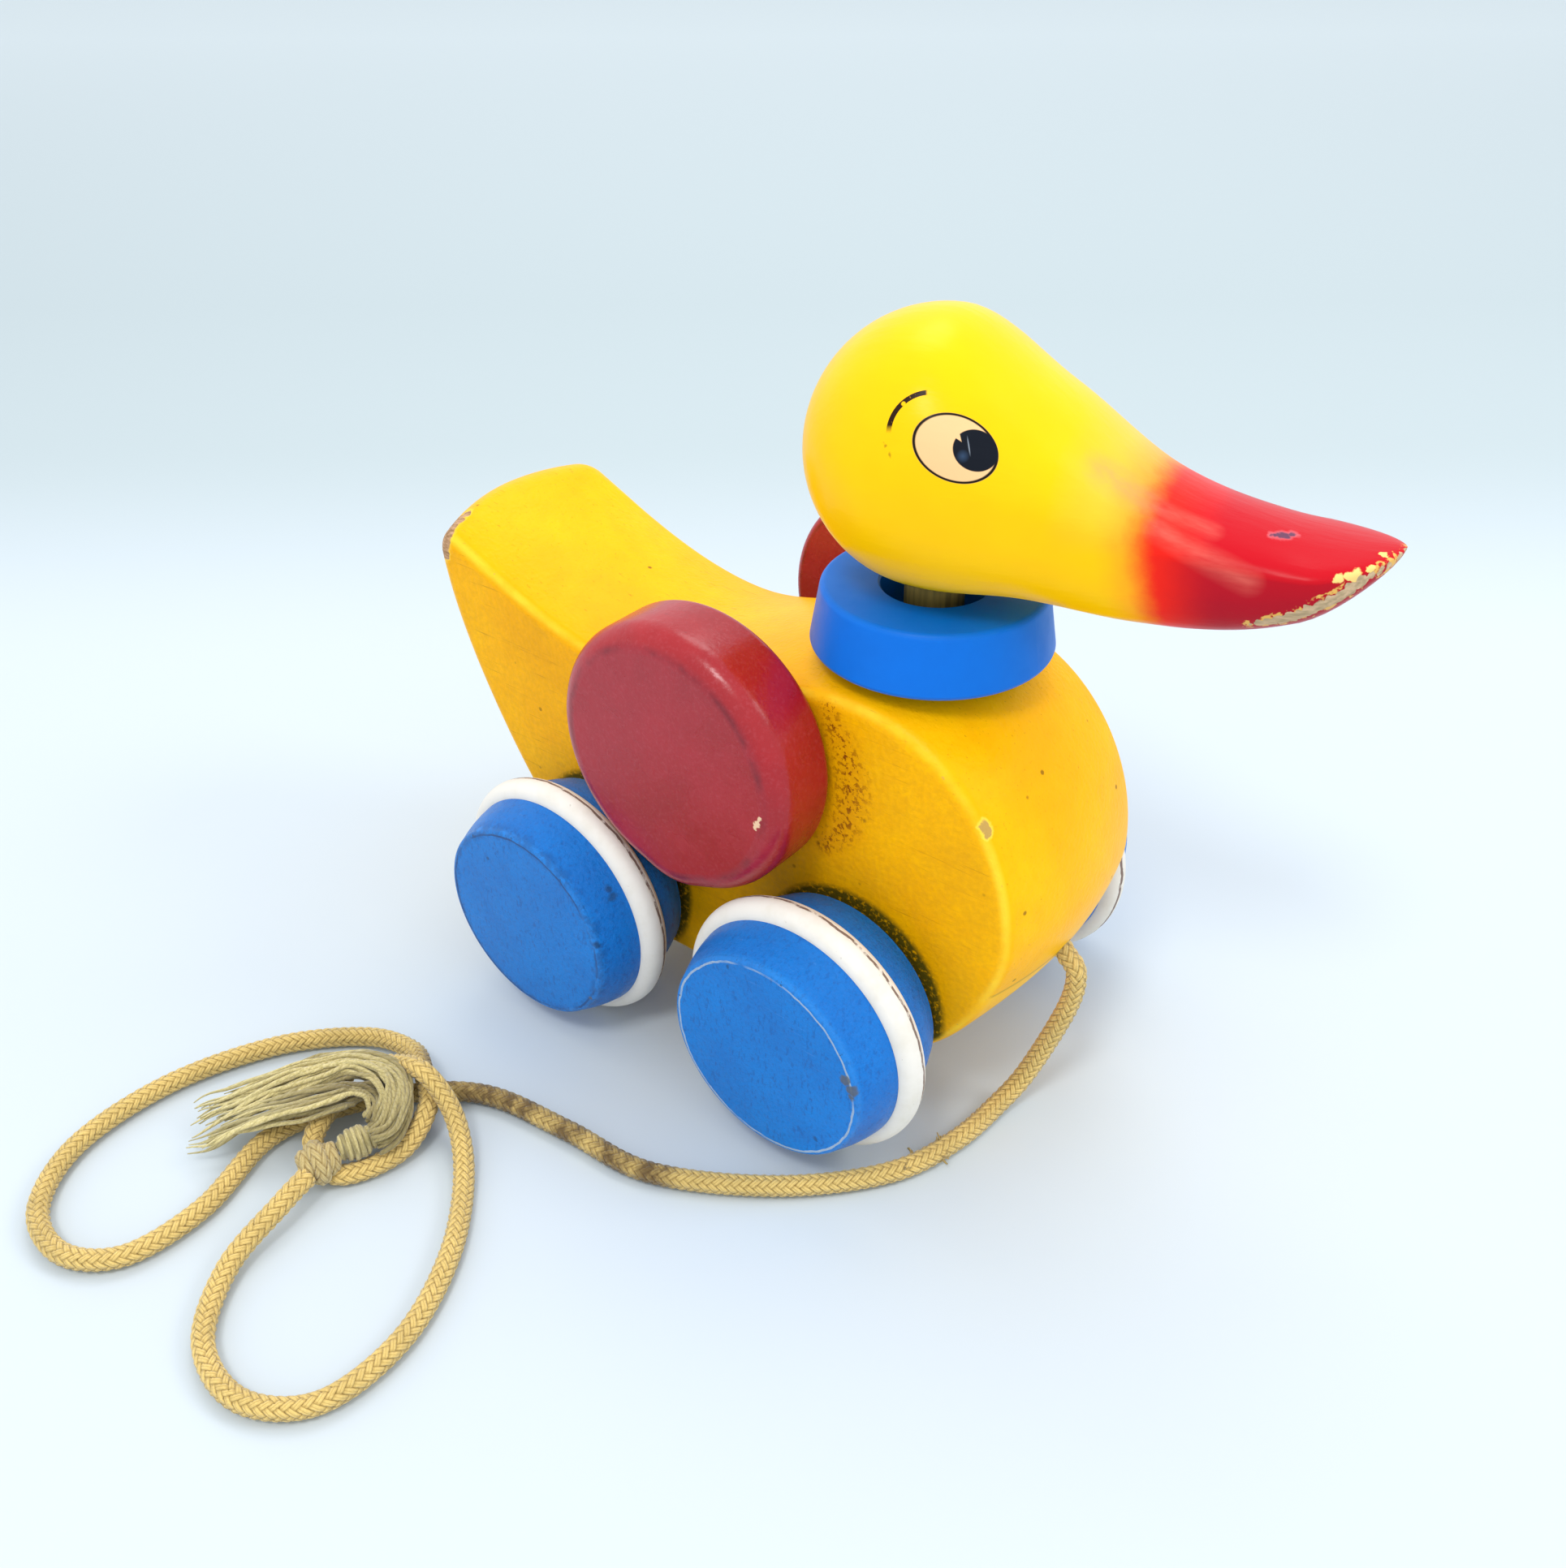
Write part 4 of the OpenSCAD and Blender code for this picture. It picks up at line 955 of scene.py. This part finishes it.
def head_enamel():
    """The body's enamel, but glossier: a bill sprayed red and worn bare, with painted shade and highlights
    on it, and printed eyes.
    """
    c = colours()
    f = Finish("head_enamel", {"Location": tuple(v * MM for v in HEAD_AT), "Rotation": (0, 0, HEAD_TURN),
                               "Scale": (MM, MM, MM)}, "TEXTURE")
    x, out_y, z = f.mirrored()
    folded = f.add("CombineXYZ", [x, out_y, z])

    # The sprayed bill: its edge drifts forward underneath
    lower = f.add("Math", [z, -3.0], operation="MINIMUM")
    slant = f.add("Math", [lower, 0.22, x], operation="MULTIPLY_ADD")
    drift = f.add("TexNoise", {"Vector": f.mm, "Scale": 0.3, "Detail": 6.0, "Roughness": 0.7})
    edge = f.add("Math", [drift, 2.0, slant], operation="MULTIPLY_ADD")
    warm = f.stipple(20.0, 0.35, 0.75)
    # Painted highlight and overspray: a pale peach bloom before the red, stronger towards the top
    bloom_and_highlight = f.product(f.add("MapRange", [z, -6.0, 3.0]), f.add("MapRange", [edge, SPRAY_X - 12, SPRAY_X]))
    mist = f.add("MapRange", [edge, SPRAY_X - 6, SPRAY_X + 1.6, 0.0, 0.75], interpolation_type="SMOOTHSTEP")
    red = f.add("MapRange", [edge, SPRAY_X - 1.6, SPRAY_X + 3.4], interpolation_type="SMOOTHSTEP")
    deep = f.add("MapRange", [edge, SPRAY_X + 2, SPRAY_X + 12], interpolation_type="SMOOTHSTEP")
    # Painted shade: the red is darkened where the bill faces downwards
    normal = f.add("TexCoord", out="Normal")
    flank_shade = f.product(f.add("MapRange", [f.add("SeparateXYZ", [normal], "Z"), 0.3, -0.15]), deep)

    # Painted highlight: pale pink gleams along the ridge. Its wear: dented on top and bare along the lower
    # edge
    rub_and_gleam = f.product(f.strokes(RIDGE_GLEAMS), f.streaks((0, -0.38, 0), (0.06, 0.6, 0.6), 0.1, 0.65))
    torn = f.ragged(1.4, 0.8)
    halo = f.spots(torn, BILL_DENT, 0.5, grown=0.5)
    dent = f.spots(torn, BILL_DENT, 0.4)
    primer = f.product(f.spots(torn, BILL_BARE, 0.1, grown=0.7), f.stipple(2.2, 0.5, 0.56))
    bare = f.spots(torn, BILL_BARE, 0.1)
    fleck = f.spots(torn, BILL_FLECKS, 0.2)
    specks = f.spots(torn, HEAD_FLECKS, 0.6)
    wood = f.grain((0.3, 1.5, 1.5), tint("#CDB08C"), tint("#A69270"))

    # The printed eye: cream oval with a dark outline, a dark pupil with a notch, a bluish patch and a pale
    # bluish streak
    front = f.add("VectorMath", [folded, EYE_OUT], "Value", operation="DOT_PRODUCT")
    front = f.add("Math", [front, EYE_FROM], operation="GREATER_THAN")
    eye = f.oval(folded, EYE_AXES, EYE_AT, EYE_HALF)
    pupil = f.oval(folded, EYE_AXES, PUPIL_AT, PUPIL_HALF)
    inside = f.product(front, f.add("MapRange", [eye, 1.01, 0.99]))
    outline = f.product(inside, f.add("MapRange", [eye, 0.915, 0.945]))
    cuts = [f.add("VectorMath", [folded, n], "Value", operation="DOT_PRODUCT") for n in NOTCH_AXES]
    cuts = [f.add("MapRange", [v, at + 0.06, at - 0.06]) for v, at in zip(cuts, NOTCH_AT)]
    whole = f.add("Math", cuts, operation="MAXIMUM")
    black = f.product(inside, whole, f.add("MapRange", [pupil, 1.02, 0.98]))
    pupil_blue_patch = f.product(black, f.spots(folded, PUPIL_BLUE_PATCH, 0.9))
    streak_mark = f.oval(folded, STREAK_AXES, STREAK_AT, STREAK_HALF)
    streak_mark = f.product(black, f.add("MapRange", [streak_mark, 1.2, 0.6, 0.0, 0.45]))

    # The brow: a thin arc behind the eye, broken in one place
    u, v = (f.add("VectorMath", [folded, n], "Value", operation="DOT_PRODUCT") for n in BROW_AXES)
    reach = f.add("VectorMath", [f.add("CombineXYZ", [u, v]), BROW_MIDDLE], "Value", operation="DISTANCE")
    on_arc = f.add("Math", [reach, BROW_R, BROW_HALF_W], operation="COMPARE")
    unbroken = f.add("MapRange", [f.spots(folded, BROW_BREAK, 0.4), 0.0, 1.0, 1.0, 0.0])
    brow = f.product(
        front, on_arc, f.add("MapRange", [u, BROW_FRONT, BROW_FRONT - 0.3]),
        f.add("MapRange", [v, BROW_LOW, BROW_LOW + 1.2]), f.stipple(0.5, 0.24, 0.36), unbroken)

    colour = f.layers(
        c["head_yellow"], (warm, 0.4, "#F6B200"), (bloom_and_highlight, 0.5, "#F8A860"), (mist, "#FA8A20"),
        (red, "#E82010"), (deep, c["bill_red"]), (flank_shade, 0.55, "#960C24"), (rub_and_gleam, 0.42, "#EE806E"),
        (halo, 0.45, "#E8838C"), (dent, 0.9, "#4A3450"), (primer, "#DDAE58"), (fleck, "#EBCB78"),
        (bare, wood), (inside, "#EEC088"), (outline, "#160E06"), (black, "#0C121C"),
        (pupil_blue_patch, 0.5, "#3E5878"), (streak_mark, "#A8B4C0"), (brow, "#2A1606"), (specks, 0.6, "#7A5208"))
    # Brush skin of about 2 by 8 mm, sunk where it is bare
    drawn = f.add("Mapping", {"Vector": f.mm, "Scale": (0.12, 0.5, 0.5)})
    peel = f.add("TexNoise", {"Vector": drawn, "Scale": 1.0, "Detail": 3.0})
    height = f.add("Math", [bare, -1.0, peel], operation="MULTIPLY_ADD")
    rough = f.add("MapRange", [bare, 0.0, 1.0, 0.3, 0.75])
    return f.paint(colour, rough, height, lift=0.3, gloss=0.12)


def head_ring(s, n=72):
    """The section of the head and bill at the distance s ahead of the ball's middle."""
    share = max(0.0, s) / BILL_LEN
    q = min(1.0, max(0.0, (s - BILL_LEN + TIP_LEN) / TIP_LEN))
    g = min(1.0, share / 0.6)
    ball = math.sqrt(max(0.0, HEAD_R ** 2 - s * s)) if s < 0 else HEAD_R
    top = ball if s < 0 else along(BILL_TOP, share) + TIP_LIFT * q * q
    low = -ball if s < 0 else along(BILL_UNDER, share)
    wide = (ball if s < 0 else along(BILL_HALF, share)) * (1 - q ** 1.5) ** (2 / 3)
    thick = (top - low) * (1 - q ** 2.2) ** 0.6
    # The widest line climbs from half the height, and the underside grows boxy, towards the bill
    crest = thick * (0.5 - 0.22 * g * g * (3 - 2 * g))
    boxy = 2 / (2 + g)
    c, w = math.cos(HEAD_TURN), math.sin(HEAD_TURN)
    ring = []
    for j in range(n):
        a = 2 * math.pi * j / n
        up = math.sin(a) > 0
        e = 1.0 if up else boxy
        y = wide * math.copysign(abs(math.cos(a)) ** e, math.cos(a))
        tall = crest if up else thick - crest
        z = top - crest + tall * math.copysign(abs(math.sin(a)) ** e, math.sin(a))
        ring.append((HEAD_AT[0] + s * c - y * w, HEAD_AT[1] + s * w + y * c, HEAD_AT[2] + z))
    return ring


class DUCK_OT_head(bpy.types.Operator):
    """Models the ball and bill of the head and paints it"""

    bl_idname = "duck.head"
    bl_label = "Head"

    def execute(self, context):
        """Lofts the head from the back of the ball to the bill's tip, then drills the neck's socket."""
        stations = [-HEAD_R * math.sin(math.radians(a)) for a in range(88, -1, -4)]
        stations += [(BILL_LEN - TIP_LEN) * i / 40 for i in range(1, 41)]
        stations += [BILL_LEN - TIP_LEN * (1 - math.sin(math.radians(a))) for a in TIP_ANGLES]
        head = loft("head_ball_and_bill", [head_ring(s) for s in stations], pointed=True)
        x, y, z = HEAD_AT
        drill(head, (x, y, z - HEAD_R - OVERRUN), (x, y, z - HEAD_R + HEAD_BORE_DEEP), HEAD_BORE_R)
        smooth(head, 45)
        seat(head, head_enamel(), "head", "head")
        return {"FINISHED"}


# The wings in mm: thickness, the wood left over the bore, the inner edge's rounding and the clearance to the
# rubber rings, then the egg's two circles, and each wing's piece, node, side and distance out
WING_T, WING_SKIN, WING_INNER_EDGE, WING_CLEAR = 14.5, 4.0, 2.0, 0.4
WING_R, LOBE_R, WING_DROP = 25.1, 14.0, 1.5
WINGS = [("right_wing_egg", "right_wing", -1, 22.0), ("left_wing_egg", "left_wing", 1, 31.5)]
WING_CHIPS = [(21.1, -36.4, 65.9, 0.55), (20.8, -36.5, 65.2, 0.6), (20.5, -36.5, 64.5, 0.6),
              (20.2, -36.5, 63.9, 0.45)]


def red_lacquer():
    """Crimson lacquer on wood: satin, a greyer crimson on the flat faces with painted shade where they turn
    into the rounding, dark scuffs and pale chips.
    """
    f = Finish("red_lacquer")
    lean = f.lean()
    # The flat faces take a greyer crimson; where they turn into the rounding, a dark band of painted shade,
    # as of a slight groove
    face = f.add("MapRange", [lean, 0.86, 0.99])
    groove_shade = f.product(f.add("MapRange", [lean, 0.9, 0.97]), f.add("MapRange", [lean, 0.9995, 0.985]),
                       f.stipple(9.0, 0.42, 0.6))
    deep = f.stipple(14.0, 0.35, 0.7)
    dust = f.stipple(0.7, 0.5, 0.75)
    scuff = f.streaks((0, 0.9, 0), (0.1, 1.0, 2.6), 0.68, 0.76)
    chip = f.spots(f.ragged(1.2, 0.7), WING_CHIPS, 0.3)
    colour = f.layers(
        colours()["wing_red"], (face, 0.6, "#9C2634"), (deep, 0.5, "#84101A"), (dust, 0.16, "#C4606A"),
        (scuff, 0.3, "#5C1018"), (groove_shade, 0.55, "#5A0E1C"), (chip, "#E6C09A"))
    skin = f.add("TexNoise", {"Vector": f.mm, "Scale": 0.7, "Detail": 4.0})
    rough = f.add("MapRange", [deep, 0.0, 1.0, 0.32, 0.22])
    return f.paint(colour, rough, skin, lift=0.25, gloss=0.42)


class DUCK_OT_wings(bpy.types.Operator):
    """Models the two egg-shaped wings and lacquers them"""

    bl_idname = "duck.wings"
    bl_label = "Wings"

    def execute(self, context):
        """Lofts each wing from its inner to its outer face, then drills its bore."""
        # The lobe reaches as far as a full turn between the rubber rings allows
        reach = math.hypot(AXLE_X, WING_Z - AXLE_Z) - TYRE_R - WING_CLEAR
        lobe_drop = reach - LOBE_R
        lean = math.degrees(math.asin((WING_R - LOBE_R) / (lobe_drop - WING_DROP)))
        a = np.radians(np.linspace(0, 90, 11))
        inner, outer = WING_INNER_EDGE, context.scene.duck_sizes.wing_edge / MM
        stations = [(inner * (1 - math.cos(t)), inner * (1 - math.sin(t))) for t in a]
        stations += [(WING_T - outer * (1 - math.cos(t)), outer * (1 - math.sin(t))) for t in a[::-1]]
        lacquer = red_lacquer()
        for name, node, side, out in WINGS:
            rings = []
            for y, inward in stations:
                egg = np.concatenate([arc((0, -WING_DROP), WING_R - inward, 180 + lean, -lean, 90),
                                      arc((0, -lobe_drop), LOBE_R - inward, -lean, lean - 180, 50)])
                rings.append([(x, side * (out + y), WING_Z + z) for x, z in egg])
            wing = loft(name, rings)
            ends = out - OVERRUN, out + WING_T - WING_SKIN
            drill(wing, *((0, side * y, WING_Z) for y in ends), WING_BORE_R)
            smooth(wing, 38)
            seat(wing, lacquer, "wings", node)
        return {"FINISHED"}


# How far out the wheels' faces lie, their radius and the rings' dirt line, in mm
FACE_Y, FACE_R, DIRT_Y = 46.2, 19.6, 34.65

# Chips and scuffs of the wheels, as round places in mm
WHEEL_CHIPS = [(48, -46.2, 28.9, 1.3), (46.6, -46.2, 30.5, 1.2), (47.8, -45.6, 27.2, 0.9),
               (-12.5, -45.8, 15.4, 0.7)]
WHEEL_SCUFFS = [(-10.7, -40.2, 36.7, 1.1), (-11.7, -40.1, 38.1, 0.9), (-9.9, -45.9, 29.4, 0.9),
                (40.5, -46.2, 13.0, 0.8), (22, -46.2, 41.5, 0.6), (-37.5, -46.2, 36.5, 0.7)]


def blue_enamel():
    """Thick blue enamel on turned wood: leathery skin, scuffed flats, rubbed pale along the face edges,
    painted shade on the barrels.
    """
    f = Finish("blue_enamel")
    x, out_y, z = f.mirrored()
    hub = f.from_axle(x, z)
    ahead = f.add("Math", [x, 0.0], operation="GREATER_THAN")
    behind = f.add("Math", [x, 0.0], operation="LESS_THAN")
    # The rubbed edge of the face wanders, and the barrel behind it is painted darker, as shade
    at_face = f.add("MapRange", [out_y, FACE_Y - 1.2, FACE_Y - 0.6])
    barrel_shade = f.add("MapRange", [out_y, FACE_Y - 0.6, FACE_Y - 1.6])
    wander = f.add("TexNoise", {"Vector": f.mm, "Scale": 0.4, "Detail": 4.0})
    level = f.add("Math", [wander, 0.7, hub], operation="MULTIPLY_ADD")
    ring = f.product(f.add("Math", [level, FACE_R - 0.25, 0.2], operation="COMPARE"), at_face)
    pale = f.product(ring, ahead, f.stipple(14.0, 0.32, 0.5))
    hairline = f.product(ring, behind, f.stipple(14.0, 0.4, 0.5))
    edge = f.product(f.add("MapRange", [hub, FACE_R - 0.9, FACE_R - 0.5]), at_face)
    nick = f.product(edge, f.stipple(1.2, 0.68, 0.72))
    rim = f.product(behind, f.add("MapRange", [out_y, FACE_Y - 2.6, FACE_Y - 0.6]),
                    f.add("MapRange", [hub, FACE_R - 1.8, FACE_R - 0.4]), f.stipple(2.2, 0.42, 0.56))
    # Clouds of 12 mm, grit of half a millimetre, short brush flecks and long grazes
    deep = f.stipple(12.0, 0.35, 0.7)
    grit = f.stipple(0.55, 0.5, 0.7)
    fleck = f.streaks((0, 0.2, 0), (1.6, 0.9, 0.6), 0.56, 0.66)
    graze = f.streaks((0, 0.5, 0), (0.12, 1.0, 2.2), 0.66, 0.75)
    torn = f.ragged(1.3, 0.8)
    chip = f.spots(torn, WHEEL_CHIPS, 0.3)
    scuff = f.spots(torn, WHEEL_SCUFFS, 0.5)
    colour = f.layers(
        colours()["wheel_blue"], (deep, 0.45, "#0A62B4"), (fleck, 0.55, "#0A559E"), (grit, 0.35, "#084A90"),
        (barrel_shade, 0.3, "#085AB0"), (rim, 0.5, "#0A3470"), (graze, 0.3, "#4C90DA"), (edge, 0.25, "#3C8CDA"),
        (pale, 0.75, "#AEBFC8"), (hairline, 0.7, "#0A2F66"), (scuff, 0.6, "#15304C"), (nick, "#26384A"),
        (chip, 0.85, "#565A5C"))
    skin = f.add("TexNoise", {"Vector": f.mm, "Scale": 1.0, "Detail": 5.0, "Roughness": 0.7})
    return f.paint(colour, 0.25, skin, lift=0.75, gloss=0.22, depth=0.6)


def white_rubber():
    """Old white rubber: matt and creamy, with a broken brown dirt line near its middle and dark spots."""
    f = Finish("white_rubber")
    out_y = f.add("Math", [f.add("SeparateXYZ", [f.mm], "Y")], operation="ABSOLUTE")
    wander = f.add("TexNoise", {"Vector": f.mm, "Scale": 0.35, "Detail": 3.0})
    level = f.add("Math", [wander, 0.9, out_y], operation="MULTIPLY_ADD")
    line = f.add("Math", [level, DIRT_Y, 0.3], operation="COMPARE")
    line = f.product(line, f.stipple(2.4, 0.34, 0.48))
    dirt_and_shade = f.stipple(5.0, 0.45, 0.8)
    spot = f.stipple(0.9, 0.7, 0.76)
    colour = f.layers(
        colours()["rubber"], (dirt_and_shade, 0.35, "#C8C0A8"), (spot, 0.4, "#8C8068"), (line, 0.85, "#5A3626"))
    return f.shade({"Base Color": colour, "Roughness": 0.55, "Specular IOR Level": 0.3})


def drawn_steel():
    """Drawn mild steel rod: fine lengthwise scratches, dulled."""
    f = Finish("drawn_steel")
    streak_mark = f.streaks((0, 0, 0), (3.0, 0.05, 3.0), 0.3, 0.7)
    colour = f.layers(tint("#A9A8A4"), (streak_mark, 0.4, "#83817C"))
    rough = f.add("MapRange", [streak_mark, 0.0, 1.0, 0.3, 0.55])
    return f.shade({"Base Color": colour, "Metallic": 1.0, "Roughness": rough})


class DUCK_OT_running_gear(bpy.types.Operator):
    """Finishes the wheels, their rubber rings and the axles, which keep their exact solids"""

    bl_idname = "duck.running_gear"
    bl_label = "Running gear"

    def execute(self, context):
        """Gives each solid its own finish."""
        enamel, rubber, steel = blue_enamel(), white_rubber(), drawn_steel()
        for place in ("front_right", "front_left", "rear_right", "rear_left"):
            dress(NODES[place + "_wheel"], enamel)
            dress(NODES[place + "_tyre"], rubber)
        for name in ("front_axle", "rear_axle", "wing_axle"):
            dress(NODES[name], steel)
        return {"FINISHED"}


def blue_plastic():
    """Moulded polyethylene: even colour that light enters a little, soft broad gloss."""
    f = Finish("blue_plastic")
    haze = f.stipple(6.0, 0.3, 0.7)
    colour = f.layers(colours()["collar_blue"], (haze, 0.3, "#0062C2"))
    rough = f.add("MapRange", [haze, 0.0, 1.0, 0.34, 0.46])
    return f.shade({
        "Base Color": colour, "Roughness": rough, "IOR": 1.5, "Specular IOR Level": 0.16,
        "Subsurface Weight": 0.05, "Subsurface Radius": (0.001, 0.001, 0.002)})


def bare_beech():
    """Bare beech: straight grain along the dowel, coloured dark as painted shade under the head."""
    f = Finish("bare_beech")
    # Painted shade: dark olive tones for the shade under the head
    colour = f.grain((1.2, 1.2, 0.08), tint("#8E7B38"), tint("#5C5020"))
    return f.shade({"Base Color": colour, "Roughness": 0.6})


class DUCK_OT_neck(bpy.types.Operator):
    """Finishes the collar and the neck dowel, which keep their exact solids"""

    bl_idname = "duck.neck"
    bl_label = "Neck"

    def execute(self, context):
        """Gives each solid its own finish."""
        dress(NODES["collar"], blue_plastic())
        dress(NODES["neck_dowel"], bare_beech())
        return {"FINISHED"}


STEPS = (
    DUCK_OT_stage, DUCK_OT_cord, DUCK_OT_body, DUCK_OT_head, DUCK_OT_wings, DUCK_OT_running_gear,
    DUCK_OT_neck)


class DUCK_PT_panel(bpy.types.Panel):
    """Lists the sizes, the colours and the steps"""

    bl_label = "Pull-along Duck"
    bl_idname = "DUCK_PT_panel"
    bl_space_type = "VIEW_3D"
    bl_region_type = "UI"
    bl_category = "Duck"

    def draw(self, context):
        """Draws the settings first and a button for each step."""
        for group in (context.scene.duck_sizes, context.scene.duck_colours):
            box = self.layout.box()
            for key in type(group).__annotations__:
                box.prop(group, key)
        for step in STEPS:
            self.layout.operator(step.bl_idname)


CLASSES = (DuckSizes, DuckColours, *STEPS, DUCK_PT_panel)


def register():
    """Registers the classes and the scene's settings."""
    for item in CLASSES:
        bpy.utils.register_class(item)
    bpy.types.Scene.duck_sizes = bpy.props.PointerProperty(type=DuckSizes)
    bpy.types.Scene.duck_colours = bpy.props.PointerProperty(type=DuckColours)


def unregister():
    """Removes the settings and the classes."""
    del bpy.types.Scene.duck_colours
    del bpy.types.Scene.duck_sizes
    for item in reversed(CLASSES):
        bpy.utils.unregister_class(item)


def main():
    """Builds the duck step by step."""
    register()
    bpy.ops.duck.stage()
    bpy.ops.duck.cord()
    bpy.ops.duck.body()
    bpy.ops.duck.head()
    bpy.ops.duck.wings()
    bpy.ops.duck.running_gear()
    bpy.ops.duck.neck()
    bpy.context.view_layer.update()


if __name__ == "__main__":
    main()
